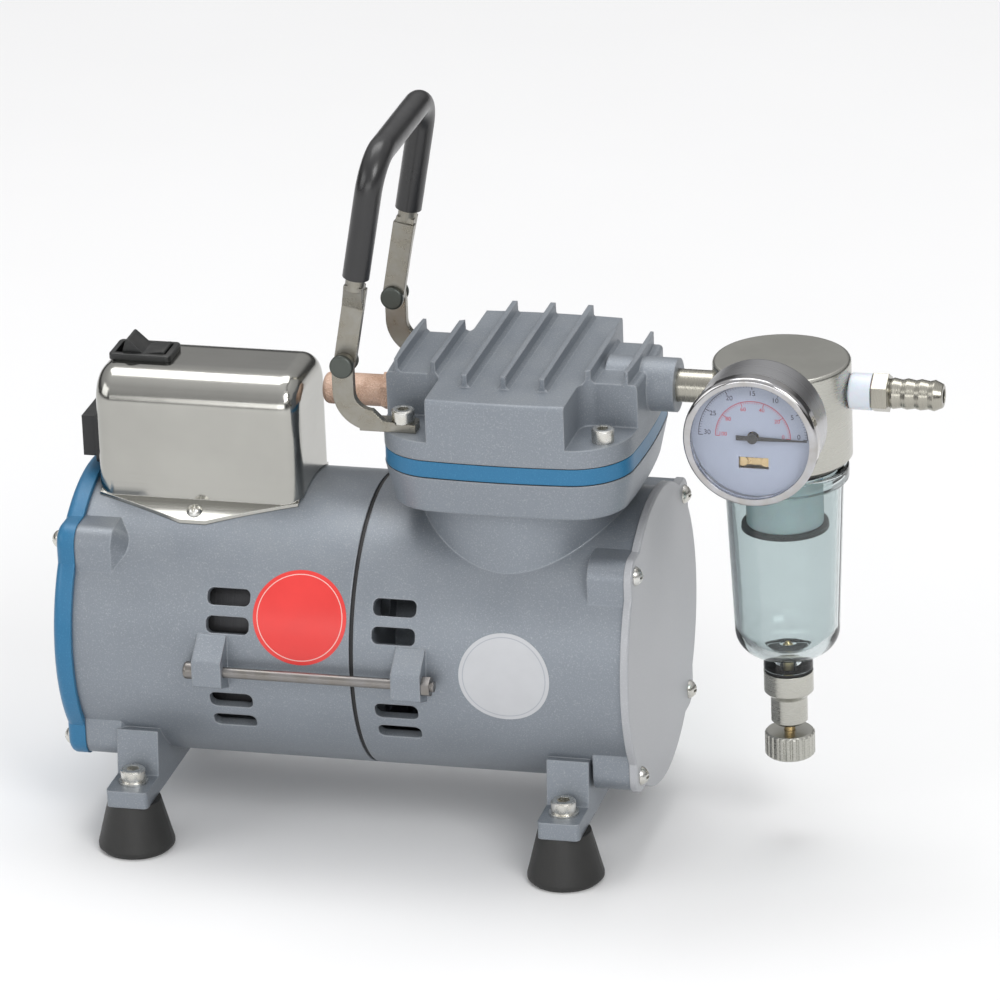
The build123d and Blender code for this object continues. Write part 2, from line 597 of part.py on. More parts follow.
def motor_shaft():
    crank_face = ROD_X0 - 4
    shaft = x_cylinder(SHAFT_R, REAR_BEARING_X0 + 0.5, crank_face)
    shaft += x_cylinder(CRANK_WEB_R, crank_face - 6, ROD_X0 - 0.5)
    shaft += x_cylinder(CRANK_PIN_R, ROD_X0 - 0.5, ROD_X1 + 0.5, 0, CRANK_Z)
    shaft += x_cylinder(CRANK_WEB_R, ROD_X1 + 0.5, ROD_X1 + 5)
    return shaft + x_cylinder(FAN_STUB_R, ROD_X1 + 5, FRONT_FAN_X1 - 1)


def counterweight():
    """A half disc opposite the crank pin, clamped on the shaft."""
    room = ROD_X0 - 10 - BEARING_X1
    x0 = BEARING_X1 + 0.37 * room
    x1 = BEARING_X1 + 0.91 * room
    weight = x_cylinder(34, x0, x1) & block(x0, x1, -34, 34, AXIS_Z - 34, AXIS_Z - 2)
    weight += x_cylinder(12, x0, x1)
    return weight - x_cylinder(SHAFT_R + FIT, x0 - 1, x1 + 1)


def fan(x0, bore_r):
    """A hub with twisted flat blades and a rim."""
    x1 = x0 + FAN_LENGTH
    wheel = x_cylinder(14, x0, x1)
    blade = Pos((x0 + x1) / 2, 0, (13 + FAN_R) / 2) * Rot(0, 0, 38) * Box(FAN_LENGTH * 1.15, 1.6, FAN_R - 13)
    wheel += [Pos(0, 0, AXIS_Z) * Rot(360 / FAN_BLADES * i, 0, 0) * blade for i in range(FAN_BLADES)]
    wheel += x_cylinder(FAN_R + 1.5, x0 + 4, x1 - 4) - x_cylinder(FAN_R - 0.5, x0, x1)
    return wheel - x_cylinder(bore_r + FIT, x0 - 1, x1 + 1)


def bearing_places():
    return (REAR_BEARING_X0, BEARING_X1 - BEARING_WIDTH)


def outer_races():
    inner_r = BEARING_R - RACE_THICK
    return [x_cylinder(BEARING_R, x, x + BEARING_WIDTH) - x_cylinder(inner_r, x - 1, x + BEARING_WIDTH + 1)
            for x in bearing_places()]


def inner_races():
    """Each inner race with its ring of balls in a cage, turning with the shaft."""
    race_r = SHAFT_R + RACE_THICK
    track_r = (race_r + BEARING_R - RACE_THICK) / 2
    ball_r = (BEARING_R - RACE_THICK - race_r) / 2 - RUN
    rings = []
    for x in bearing_places():
        ring = x_cylinder(race_r, x, x + BEARING_WIDTH)
        ring += x_cylinder(track_r + 0.6, x + 3.5, x + BEARING_WIDTH - 3.5)
        for i in range(BALL_COUNT):
            turn = radians(360 / BALL_COUNT * i)
            centre = Pos(x + BEARING_WIDTH / 2, track_r * cos(turn), AXIS_Z + track_r * sin(turn))
            ring += centre * Sphere(ball_r)
        rings.append(ring - x_cylinder(SHAFT_R + FIT, x - 1, x + BEARING_WIDTH + 1))
    return rings


def crank_bearing():
    ring = x_cylinder(CRANK_BEARING_R, ROD_X0, ROD_X1, 0, CRANK_Z)
    return ring - x_cylinder(CRANK_PIN_R + RUN, ROD_X0 - 1, ROD_X1 + 1, 0, CRANK_Z)


def connecting_rod():
    """Rod and piston in one piece, as on every rocking-piston pump."""
    eye_r = CRANK_BEARING_R + ROD_EYE_WALL
    seat_z = PISTON_TOP_Z - CLAMP_THICK - SEAL_THICK
    disc_z = seat_z - PISTON_THICK
    rod = x_cylinder(eye_r, ROD_X0, ROD_X1, 0, CRANK_Z)
    rod += block(CYL_X - 5, CYL_X + 5, -9, 9, CRANK_Z, disc_z + 1) + z_cylinder(PISTON_R, disc_z, seat_z, CYL_X)
    rod += block(CYL_X - 1.5, CYL_X + 1.5, -14, 14, CRANK_Z + eye_r, disc_z + 1)
    rod -= x_cylinder(CRANK_BEARING_R + FIT, ROD_X0 - 1, ROD_X1 + 1, 0, CRANK_Z)
    return rod - z_cylinder(CLAMP_SCREW_R + FIT, seat_z - 12, seat_z + 1, CYL_X)


def cup_seal():
    z1 = PISTON_TOP_Z - CLAMP_THICK
    lip_r = PISTON_R - SEAL_THICK
    seal = z_cylinder(PISTON_R, z1 - SEAL_THICK, z1 + 2.2, CYL_X) - z_cylinder(lip_r, z1, z1 + 3, CYL_X)
    return seal - z_cylinder(CLAMP_SCREW_R + FIT, z1 - SEAL_THICK - 1, z1 + 1, CYL_X)


def piston_clamp():
    """The disc over the cup seal, with its screw into the rod."""
    z1 = PISTON_TOP_Z - CLAMP_THICK
    disc = z_cylinder(PISTON_R - SEAL_THICK - GAP, z1, PISTON_TOP_Z, CYL_X)
    disc = chamfer(disc.edges().group_by(Axis.Z)[-1], 0.8)
    disc += z_cylinder(CLAMP_SCREW_R, z1 - 12, z1 + 1, CYL_X)
    return disc - Pos(CYL_X, 0, PISTON_TOP_Z - 2) * extrude(RegularPolygon(2.6, 6), 3)


# ---------------------------------------------------------------- cylinder, valve plate and head
def sleeve():
    z0 = AXIS_Z + BARREL_BORE - 4
    return z_cylinder(BORE_R + SLEEVE_WALL, z0, DECK_Z, CYL_X) - z_cylinder(BORE_R, z0 - 1, DECK_Z + 1, CYL_X)


def deck_slab(z0, z1, half, inside):
    """One layer of the stack between crankcase and head, with its screw holes."""
    slab = z_prism(flange_outline(half), z0, z1, CYL_X) - inside
    for x, y in head_screw_places():
        slab -= z_cylinder(HEAD_SCREW_R + FIT, z0 - 1, z1 + 1, x, y)
    return slab


def valve_ports(side, z0, z1):
    """Three small ports in a row through the valve plate."""
    return [z_cylinder(1.6, z0, z1, CYL_X + side * VALVE_X, y) for y in (-5.0, 0.0, 5.0)]


def lower_gasket():
    return deck_slab(DECK_Z, PLATE_Z, FLANGE_HALF - 0.4, z_cylinder(BORE_R + 0.5, DECK_Z - 1, PLATE_Z + 1, CYL_X))


def valve_plate():
    ports = valve_ports(-1, PLATE_Z - 1, PLATE_TOP_Z + 1) + valve_ports(1, PLATE_Z - 1, PLATE_TOP_Z + 1)
    return deck_slab(PLATE_Z, PLATE_TOP_Z, FLANGE_HALF - 0.2, ports) - reed_screw_holes()


def reed_screw_holes():
    return [z_cylinder(1.3 + FIT, PLATE_Z - 1, PLATE_TOP_Z + 1, CYL_X + side * VALVE_X, 12.0) for side in (-1, 1)]


def reed(side, z0):
    strip = z_prism(RectangleRounded(7, 22, 3.4), z0, z0 + REED_THICK, CYL_X + side * VALVE_X, 3.5)
    return strip - z_cylinder(1.3 + FIT, z0 - 1, z0 + 1, CYL_X + side * VALVE_X, 12.0)


def reed_screws():
    intake = Pos(CYL_X + VALVE_X, 12, PLATE_Z - REED_THICK) * Rot(180, 0, 0) * Cylinder(1.3, 4, align=BELOW)
    exhaust = Pos(CYL_X - VALVE_X, 12, PLATE_TOP_Z + REED_THICK) * pan_screw(1.3, 4, 2.6, 1.4)
    return [intake, exhaust]


def chamber(side):
    """Half of the space inside the head: exhaust at -X, intake at +X, with a wall between."""
    top = HEAD_TOP_Z - HEAD_WALL
    wide = sorted((CYL_X + side * CHAMBER_NEAR, CYL_X + side * CHAMBER_FAR))
    narrow = sorted((CYL_X + side * (CHAMBER_FAR - 1), CYL_X + side * (FLANGE_HALF - 8)))
    reach = FLANGE_HALF - 17
    side_y = NOTCH_Y - CHAMBER_WALL
    space = block(*wide, -reach, reach, HEAD_Z - 1, top)
    return space + block(*narrow, -side_y, side_y, HEAD_Z - 1, top)


def upper_gasket():
    return deck_slab(PLATE_TOP_Z, HEAD_Z, FLANGE_HALF - 0.4, chamber(-1) + chamber(1))


def fins():
    """Upright fins across the top of the head; each is as long as the head under it."""
    top = HEAD_TOP_Z + FIN_HEIGHT
    made = []
    for i in range(FIN_COUNT):
        x = CYL_X + (i - (FIN_COUNT - 1) / 2) * FIN_PITCH
        foot, tip = FIN_THICK * 1.5, FIN_THICK * 0.45
        section = Polyline((x - foot, HEAD_TOP_Z - 1), (x + foot, HEAD_TOP_Z - 1), (x + FIN_THICK / 2,
                           HEAD_TOP_Z + 1.2), (x + tip, top), (x - tip, top), (x - FIN_THICK / 2, HEAD_TOP_Z + 1.2),
                           close=True)
        made.append(extrude(make_face(Plane.XZ * section), 2 * FLANGE_HALF, both=True))
    return made


def notches(z0, z1):
    """The four corner pockets over the head screws."""
    size = 2 * FLANGE_HALF
    square = RectangleRounded(size, size, 6)
    return [z_prism(square, z0, z1, CYL_X + sx * (NOTCH_X + size / 2), sy * (NOTCH_Y + size / 2))
            for sx in (-1, 1) for sy in (-1, 1)]


def cylinder_head():
    body = z_prism(flange_outline(FLANGE_HALF), HEAD_Z, HEAD_TOP_Z, CYL_X)
    body = fillet(body.edges().group_by(Axis.Z)[-1], HEAD_EDGE_R)
    inner = z_prism(flange_outline(FLANGE_HALF - 2 * HEAD_EDGE_R), HEAD_TOP_Z - 2, HEAD_TOP_Z + FIN_HEIGHT, CYL_X)
    back = block(CYL_X - FLANGE_HALF, CYL_X + FLANGE_HALF, -0.68 * FLANGE_HALF, FLANGE_HALF, HEAD_Z, HEAD_TOP_Z + 20)
    ribs = Compound(fins()) & inner & back
    body += ribs.solids()
    body -= notches(NOTCH_Z, HEAD_TOP_Z + FIN_HEIGHT + 1)
    body += x_cylinder(PORT_BOSS_R, CYL_X + NOTCH_X + 6, BOSS_X, 0, PORT_Z)
    body += x_cylinder(SILENCER_BOSS_R, CYL_X - FLANGE_HALF - 1, CYL_X - NOTCH_X - 6, 0, SILENCER_Z)
    body -= [chamber(-1), chamber(1)]
    body -= x_cylinder(NIPPLE_R + FIT, BOSS_X - NIPPLE_INSERT, BOSS_X + 1, 0, PORT_Z)
    body -= x_cylinder(3.5, CYL_X + FLANGE_HALF - 12, BOSS_X, 0, PORT_Z - 1.5)
    body -= x_cylinder(SILENCER_R - 1 + FIT, SILENCER_X1 - 1, SILENCER_X1 + 7, 0, SILENCER_Z)
    for x, y in head_screw_places():
        body -= z_cylinder(HEAD_SCREW_R + FIT, HEAD_Z - 1, NOTCH_Z + 1, x, y)
    return body


def head_screws():
    """Four socket screws; the two at -X also clamp the handle brackets."""
    screws = []
    for x, y in head_screw_places():
        rise = STRAP_THICK if x < CYL_X else 0.0
        seat = NOTCH_Z + rise
        length = seat - DECK_Z + HEAD_SCREW_DEPTH - 1
        screws.append(Pos(x, y, seat) * cap_screw(HEAD_SCREW_R, length, HEAD_SCREW_HEAD_R, HEAD_SCREW_HEAD))
    return screws


def exhaust_silencer():
    body = x_cylinder(SILENCER_R, SILENCER_X1 - SILENCER_LENGTH, SILENCER_X1, 0, SILENCER_Z)
    body = fillet(body.edges().group_by(Axis.X)[0], 2.5)
    body += x_cylinder(SILENCER_R - 1, SILENCER_X1, SILENCER_X1 + 6, 0, SILENCER_Z)
    hexagon = x_prism(RegularPolygon(SILENCER_R + 1.4, 6), SILENCER_X1 - 5, SILENCER_X1, 0, SILENCER_Z)
    return body + hexagon - x_cylinder(2.5, SILENCER_X1 - SILENCER_LENGTH + 4, SILENCER_X1 + 7, 0, SILENCER_Z)


# ---------------------------------------------------------------- carry handle
def bracket(side):
    """An angle held by a head screw, whose upright curls up to the handle's rivet."""
    half = STRAP_WIDTH / 2
    screw_x = CYL_X - HEAD_SCREW_X
    end_x = screw_x + STRAP_WIDTH * 0.7
    bend_x = PIVOT_X + half + BRACKET_BEND_R
    bend_z = NOTCH_Z + STRAP_WIDTH + BRACKET_BEND_R
    outer_r = BRACKET_BEND_R + STRAP_WIDTH
    upright = y_cylinder(outer_r, 0, STRAP_THICK, bend_x, bend_z)
    upright -= y_cylinder(BRACKET_BEND_R, -1, STRAP_THICK + 1, bend_x, bend_z)
    upright &= block(bend_x - outer_r, bend_x, -1, STRAP_THICK + 1, NOTCH_Z, bend_z)
    upright += block(PIVOT_X - half, PIVOT_X + half, 0, STRAP_THICK, bend_z, PIVOT_Z)
    upright += y_cylinder(half, 0, STRAP_THICK, PIVOT_X, PIVOT_Z)
    tail = Polyline((bend_x, NOTCH_Z), (end_x, NOTCH_Z), (end_x, NOTCH_Z + STRAP_THICK),
                    (bend_x + 4, NOTCH_Z + STRAP_THICK + 1), (bend_x, NOTCH_Z + STRAP_WIDTH), close=True)
    upright += Pos(0, STRAP_THICK, 0) * extrude(make_face(Plane.XZ * tail), STRAP_THICK)
    upright = Pos(0, BRACKET_Y, 0) * upright
    foot = block(bend_x - 5, end_x, HEAD_SCREW_Y - 4.6, BRACKET_Y + STRAP_THICK, NOTCH_Z, NOTCH_Z + STRAP_THICK)
    foot = fillet(foot.edges().filter_by(Axis.Z).group_by(Axis.Y)[0], 3.0)
    piece = foot + upright - y_cylinder(RIVET_R + FIT, BRACKET_Y - 1, BRACKET_Y + 5, PIVOT_X, PIVOT_Z)
    piece -= z_cylinder(HEAD_SCREW_R + FIT, NOTCH_Z - 1, NOTCH_Z + STRAP_THICK + 1, screw_x, HEAD_SCREW_Y)
    piece -= z_cylinder(HEAD_SCREW_HEAD_R + GAP, NOTCH_Z + STRAP_THICK, PIVOT_Z, screw_x, HEAD_SCREW_Y)
    return piece if side > 0 else mirror(piece, Plane.XZ)


def handle_rivets():
    """One rivet through each bracket and leg, with a head on both faces."""
    inner = BRACKET_Y - GAP - STRAP_THICK
    outer = BRACKET_Y + STRAP_THICK
    rivet = y_cylinder(RIVET_R, inner - RUN, outer, PIVOT_X, PIVOT_Z)
    for y0, y1, end in ((inner - RUN - RIVET_HEAD, inner - RUN, 0), (outer, outer + RIVET_HEAD, -1)):
        head = y_cylinder(RIVET_HEAD_R, y0, y1, PIVOT_X, PIVOT_Z)
        rivet += fillet(head.edges().group_by(Axis.Y)[end], 0.9)
    return [rivet, mirror(rivet, Plane.XZ)]


def leaned(shape):
    """From the handle's own upright frame, pivot at the origin, to its place in the model."""
    return Pos(PIVOT_X, 0, PIVOT_Z) * Rot(0, HANDLE_LEAN, 0) * shape


def bail_path(drop):
    top = HANDLE_HEIGHT
    points = [(0, -BAIL_Y, top - drop), (0, -BAIL_Y, top), (0, BAIL_Y, top), (0, BAIL_Y, top - drop)]
    return FilletPolyline(*points, radius=HANDLE_BEND_R)


def handle_bail():
    """A round rod bent into a bail, with flattened ends that take the rivets."""
    strap_top = 30.0
    path = bail_path(HANDLE_HEIGHT - strap_top)
    start = Plane(origin=path @ 0, z_dir=path % 0)
    bail = sweep(start * Circle(ROD_R), path=path)
    for side in (-1, 1):
        strap = Pos(0, side * LEG_Y, strap_top / 2) * Box(STRAP_WIDTH, STRAP_THICK, strap_top)
        strap += y_cylinder(STRAP_WIDTH / 2, side * LEG_Y - STRAP_THICK / 2, side * LEG_Y + STRAP_THICK / 2, 0, 0)
        low = Pos(0, side * LEG_Y, strap_top - 8) * Rectangle(STRAP_WIDTH, STRAP_THICK)
        high = Pos(0, side * BAIL_Y, strap_top + 2) * Rectangle(2 * ROD_R - 0.4, 2 * ROD_R - 0.6)
        strap += loft([low.face(), high.face()], ruled=True)
        strap -= y_cylinder(RIVET_R + RUN, side * LEG_Y - 3, side * LEG_Y + 3, 0, 0)
        bail += strap
    return leaned(bail)


def handle_grip():
    """The black sleeve over the top of the bail."""
    path = bail_path(GRIP_DROP)
    start = Plane(origin=path @ 0, z_dir=path % 0)
    sleeve_solid = sweep(start * Circle(GRIP_R), path=path)
    return leaned(sleeve_solid - sweep(start * Circle(ROD_R + FIT), path=path))


# ---------------------------------------------------------------- trap
def inlet_nipple():
    x0, x1 = BOSS_X - NIPPLE_INSERT, TRAP_X - TRAP_CHAMBER_R
    tube = x_cylinder(NIPPLE_R, x0, x1, 0, PORT_Z)
    return tube - x_cylinder(3.5, x0 - 1, x1 + 1, 0, PORT_Z)


def trap_head():
    body = z_cylinder(TRAP_R, TRAP_Z, TRAP_TOP_Z, TRAP_X)
    body = fillet(body.edges().group_by(Axis.Z)[-1], 1.5)
    body = chamfer(body.edges().group_by(Axis.Z)[0], 1.8)
    body -= z_cylinder(TRAP_CHAMBER_R, TRAP_Z - 1, TRAP_TOP_Z - 6, TRAP_X)
    body += z_cylinder(4, TRAP_TOP_Z - 16, TRAP_TOP_Z - 5, TRAP_X)
    body -= z_cylinder(FILTER_BOLT_R + FIT, TRAP_TOP_Z - 17, TRAP_TOP_Z - 8, TRAP_X)
    body -= x_cylinder(NIPPLE_R + FIT, TRAP_X - TRAP_R - 1, TRAP_X - TRAP_CHAMBER_R + 1, 0, PORT_Z)
    body -= x_cylinder(COLLAR_SPIGOT_R + FIT, TRAP_X + TRAP_CHAMBER_R - 1, TRAP_X + TRAP_R + 1, 0, BARB_Z)
    return body - y_cylinder(GAUGE_NIPPLE_R + FIT, -TRAP_R - 1, 1 - TRAP_CHAMBER_R, TRAP_X, BARB_Z)


def bowl_profile(inset):
    """Half outline of the bowl's body below its collar, drawn on the XZ plane and inset by a wall."""
    top, bottom = COLLAR_TOP_Z - BOWL_COLLAR, BOWL_Z + inset
    wall_top, wall_low = BOWL_TOP_R - inset, BOWL_BOTTOM_R - inset
    side = Line((wall_top, top), (wall_low, bottom + BOWL_ROUND))
    round_part = ThreePointArc((wall_low, bottom + BOWL_ROUND),
                               (wall_low - 0.293 * BOWL_ROUND, bottom + 0.293 * BOWL_ROUND),
                               (wall_low - BOWL_ROUND, bottom))
    base = Line((wall_low - BOWL_ROUND, bottom), (0, bottom))
    close = Polyline((0, bottom), (0, top), (wall_top, top))
    return make_face(Plane.XZ * (Curve() + [side, round_part, base, close]))


def trap_bowl():
    """The clear bowl: a threaded neck inside the head, a collar, a tapering cup and a drain neck."""
    neck_r = TRAP_CHAMBER_R - RUN
    cup = Pos(TRAP_X, 0, 0) * revolve(bowl_profile(0.0), Axis.Z)
    hollow = Pos(TRAP_X, 0, 0) * revolve(bowl_profile(BOWL_WALL), Axis.Z)
    collar_low = COLLAR_TOP_Z - BOWL_COLLAR
    collar = z_cylinder(BOWL_COLLAR_R, collar_low, COLLAR_TOP_Z, TRAP_X)
    collar = fillet(collar.edges(), 1.2)
    bowl = cup + collar + z_cylinder(neck_r, COLLAR_TOP_Z - 1, TRAP_Z + BOWL_NECK_LENGTH, TRAP_X)
    bowl += z_cylinder(DRAIN_R, NECK_Z, BOWL_Z + 3, TRAP_X)
    bowl -= hollow
    bowl -= z_cylinder(neck_r - BOWL_WALL, collar_low - 0.5, TRAP_Z + BOWL_NECK_LENGTH + 1, TRAP_X)
    return bowl - z_cylinder(DRAIN_STEM_R + 1.2, NECK_Z - 1, BOWL_Z + BOWL_WALL + 4, TRAP_X)


def bowl_o_ring():
    minor = BOWL_GAP / 2 - 0.02
    return Pos(TRAP_X, 0, TRAP_Z - BOWL_GAP / 2) * Torus(TRAP_CHAMBER_R + 0.9, minor)


def filter_element():
    tube = z_cylinder(NECK_BORE_R - FILTER_SPACE, FILTER_BASE_Z, FILTER_TOP_Z, TRAP_X)
    tube = fillet(tube.edges(), 0.8)
    return tube - z_cylinder(FILTER_BOLT_R + FIT, FILTER_BASE_Z - 1, FILTER_TOP_Z + 1, TRAP_X)


def trap_baffle():
    """The dark shield under the filter, with a hub that screws on the centre bolt."""
    z1 = FILTER_BASE_Z
    rim = NECK_BORE_R - 1.7
    points = [(0, z1), (rim, z1), (rim, z1 - 1.6), (8.0, z1 - 2.8), (7.0, z1 - 5.4), (0, z1 - 5.4)]
    baffle = turned(points, TRAP_X)
    return baffle - z_cylinder(FILTER_BOLT_R + FIT, z1 - 6, z1 + 1, TRAP_X)


def filter_bolt():
    return z_cylinder(FILTER_BOLT_R, FILTER_BASE_Z - 5.4, TRAP_TOP_Z - 8.2, TRAP_X)


def drain_body():
    z1 = NECK_Z - DRAIN_SEAL
    z0 = z1 - DRAIN_BODY_LENGTH
    points = [(0, z1), (DRAIN_R, z1), (DRAIN_R, z1 - 8), (DRAIN_TIP_R, z1 - 10.5), (DRAIN_TIP_R, z0 + 1)]
    points += [(DRAIN_TIP_R - 1, z0), (0, z0)]
    return turned(points, TRAP_X) - z_cylinder(DRAIN_STEM_R + RUN, z0 - 1, z1 + 1, TRAP_X)


def drain_seal():
    z1 = NECK_Z
    ring = z_cylinder(DRAIN_R - 0.5, z1 - DRAIN_SEAL, z1, TRAP_X)
    return ring - z_cylinder(DRAIN_STEM_R + 1.0, z1 - DRAIN_SEAL - 1, z1 + 1, TRAP_X)


def drain_stem():
    """A thin stem with a cone that closes the drain hole at the bottom of the bowl."""
    z1 = BOWL_Z + BOWL_WALL + 2
    points = [(0, KNOB_BASE_Z + 2), (DRAIN_STEM_R, KNOB_BASE_Z + 2), (DRAIN_STEM_R, z1 - 2)]
    points += [(DRAIN_STEM_R * 0.4, z1), (0, z1)]
    return turned(points, TRAP_X)


def drain_knob():
    knob = z_cylinder(KNOB_R, KNOB_BASE_Z, KNOB_TOP_Z, TRAP_X)
    knob = chamfer(knob.edges(), 0.8)
    for i in range(24):
        turn = radians(15 * i)
        x, y = KNOB_R * cos(turn), KNOB_R * sin(turn)
        knob -= z_cylinder(0.55, KNOB_BASE_Z - 1, KNOB_TOP_Z + 1, TRAP_X + x, y)
    return knob - z_cylinder(DRAIN_STEM_R + RUN, KNOB_BASE_Z + 2, KNOB_TOP_Z + 1, TRAP_X)


def barb_collar():
    """The white plastic bush between trap head and barb."""
    x0 = TRAP_X + TRAP_R
    bush = x_cylinder(COLLAR_R, x0, x0 + COLLAR_LENGTH, 0, BARB_Z)
    bush = fillet(bush.edges().group_by(Axis.X)[0], 1.0)
    bush += x_cylinder(COLLAR_SPIGOT_R, x0 - 4, x0 + 2, 0, BARB_Z)
    return bush - x_cylinder(BARB_BORE_R + 1.4 + FIT, x0 - 5, x0 + COLLAR_LENGTH + 1, 0, BARB_Z)


def hose_barb():
    """Hexagon, spigot and a barbed tail for flexible vacuum tube."""
    x0 = TRAP_X + TRAP_R + COLLAR_LENGTH
    tail_x = x0 + BARB_HEX_LENGTH
    pitch = BARB_LENGTH / BARB_RIDGES
    points = [(x0 - 6, 0), (x0 - 6, BARB_BORE_R + 1.4), (x0, BARB_BORE_R + 1.4), (tail_x, BARB_BORE_R + 1.4)]
    points += [(tail_x, BARB_ROOT_R)]
    for i in range(BARB_RIDGES):
        ridge = tail_x + pitch * (i + 0.35)
        points += [(ridge, BARB_R), (tail_x + pitch * (i + 0.95), BARB_ROOT_R if i < BARB_RIDGES - 1 else 4.4)]
    points += [(tail_x + BARB_LENGTH, 3.95), (tail_x + BARB_LENGTH, 0)]
    tail = revolve(make_face(Plane.XZ * Polyline(*points, close=True)), Axis.X)
    tail = Pos(0, 0, BARB_Z) * tail
    hexagon = x_prism(RegularPolygon(BARB_HEX / 2 / cos(radians(30)), 6), x0, tail_x, 0, BARB_Z)
    hexagon = chamfer(hexagon.edges().group_by(Axis.X)[0], 0.5)
    return tail + hexagon - x_cylinder(BARB_BORE_R, x0 - 7, tail_x + BARB_LENGTH + 1, 0, BARB_Z)


# ---------------------------------------------------------------- gauge
def gauge_case():
    y0 = GAUGE_BACK_Y - GAUGE_DEPTH
    cup = y_cylinder(GAUGE_CASE_R, y0, GAUGE_BACK_Y, TRAP_X, BARB_Z)
    cup = fillet(cup.edges().group_by(Axis.Y)[-1], 3.0)
    cup -= y_cylinder(GAUGE_CASE_R - GAUGE_WALL, y0 - 1, GAUGE_BACK_Y - GAUGE_WALL, TRAP_X, BARB_Z)
    return cup - y_cylinder(GAUGE_NIPPLE_R + FIT, GAUGE_BACK_Y - 3, GAUGE_BACK_Y + 1, TRAP_X, BARB_Z)


def gauge_bezel():
    y1 = GAUGE_FRONT_Y + BEZEL_DEPTH
    ring = y_cylinder(GAUGE_R, GAUGE_FRONT_Y, y1, TRAP_X, BARB_Z)
    ring = fillet(ring.edges().group_by(Axis.Y)[0], 1.6)
    ring = fillet(ring.edges().group_by(Axis.Y)[-1], 0.3)
    ring -= y_cylinder(GAUGE_R - BEZEL_LIP, GAUGE_FRONT_Y - 1, y1 + 1, TRAP_X, BARB_Z)
    return ring - y_cylinder(GAUGE_CASE_R + FIT, GAUGE_FRONT_Y + BEZEL_DEPTH / 2 - FIT, y1 + 1, TRAP_X, BARB_Z)


def gauge_lens():
    return y_cylinder(GAUGE_R - BEZEL_LIP - FIT, LENS_Y, LENS_Y + LENS_THICK, TRAP_X, BARB_Z)


def gauge_dial():
    """The printed plate, with a window below its centre that shows the movement."""
    plate = y_cylinder(GAUGE_CASE_R - GAUGE_WALL - FIT, DIAL_Y, DIAL_Y + DIAL_THICK, TRAP_X, BARB_Z)
    plate -= y_cylinder(2.2, DIAL_Y - 1, DIAL_Y + 2, TRAP_X, BARB_Z)
    return plate - block(TRAP_X - 5.5, TRAP_X + 5.5, DIAL_Y - 1, DIAL_Y + 2, BARB_Z - 12.2, BARB_Z - 7.8)


def bourdon_movement():
    """The curved tube and its sector block behind the dial, with the socket that feeds them."""
    y_mid = (DIAL_Y + GAUGE_BACK_Y) / 2
    tube_r = GAUGE_CASE_R - 8.4
    half_tube = Pos(TRAP_X, y_mid, BARB_Z) * Rot(90, 0, 0) * Torus(tube_r, 2.3)
    half_tube -= block(TRAP_X - 4, TRAP_X + 20, y_mid - 5, y_mid + 5, BARB_Z - 20, BARB_Z)
    frame_block = block(TRAP_X - 4, TRAP_X + 6.5, y_mid - 4, y_mid + 4, BARB_Z - tube_r - 2, BARB_Z - 5)
    frame_block += block(TRAP_X - 4, TRAP_X + 4, y_mid - 4, y_mid + 4, BARB_Z - 6, BARB_Z + 5)
    front = y_cylinder(1.9, DIAL_Y + DIAL_THICK + 0.6, y_mid, TRAP_X - 4.2, BARB_Z - 10)
    front += y_cylinder(1.9, DIAL_Y + DIAL_THICK + 0.6, y_mid, TRAP_X + 4.2, BARB_Z - 10)
    front += block(TRAP_X - 4.2, TRAP_X + 4.2, DIAL_Y + DIAL_THICK + 1.2, y_mid, BARB_Z - 11.4, BARB_Z - 8.6)
    stem = y_cylinder(3.4, y_mid, GAUGE_BACK_Y - 3.2, TRAP_X, BARB_Z)
    return half_tube + frame_block + front + stem - y_cylinder(0.9 + RUN, DIAL_Y, y_mid + 1, TRAP_X, BARB_Z)


def gauge_nipple():
    tube = y_cylinder(GAUGE_NIPPLE_R, GAUGE_BACK_Y - 3, -TRAP_CHAMBER_R - 1, TRAP_X, BARB_Z)
    nut = y_cylinder(GAUGE_NIPPLE_R + 2.4, GAUGE_BACK_Y, GAUGE_BACK_Y + GAUGE_STANDOFF - 1, TRAP_X, BARB_Z)
    return tube + nut - y_cylinder(2, GAUGE_BACK_Y - 4, 0, TRAP_X, BARB_Z)


def gauge_needle():
    """Pointer, hub and spindle, at rest at the zero on the right of the dial."""
    y0 = DIAL_Y - 1.6
    points = [(-6, 0.9), (-6, -0.9), (0, -0.8), (NEEDLE_LENGTH, -0.2), (NEEDLE_LENGTH, 0.2), (0, 0.8)]
    pointer = extrude(make_face(Plane.XZ * Polyline(*points, close=True)), 0.4)
    pointer = Pos(TRAP_X, y0 + 0.4, BARB_Z) * pointer
    hub = y_cylinder(1.9, y0 - 0.5, y0 + 1.0, TRAP_X, BARB_Z)
    return pointer + hub + y_cylinder(0.9, y0, (DIAL_Y + GAUGE_BACK_Y) / 2, TRAP_X, BARB_Z)


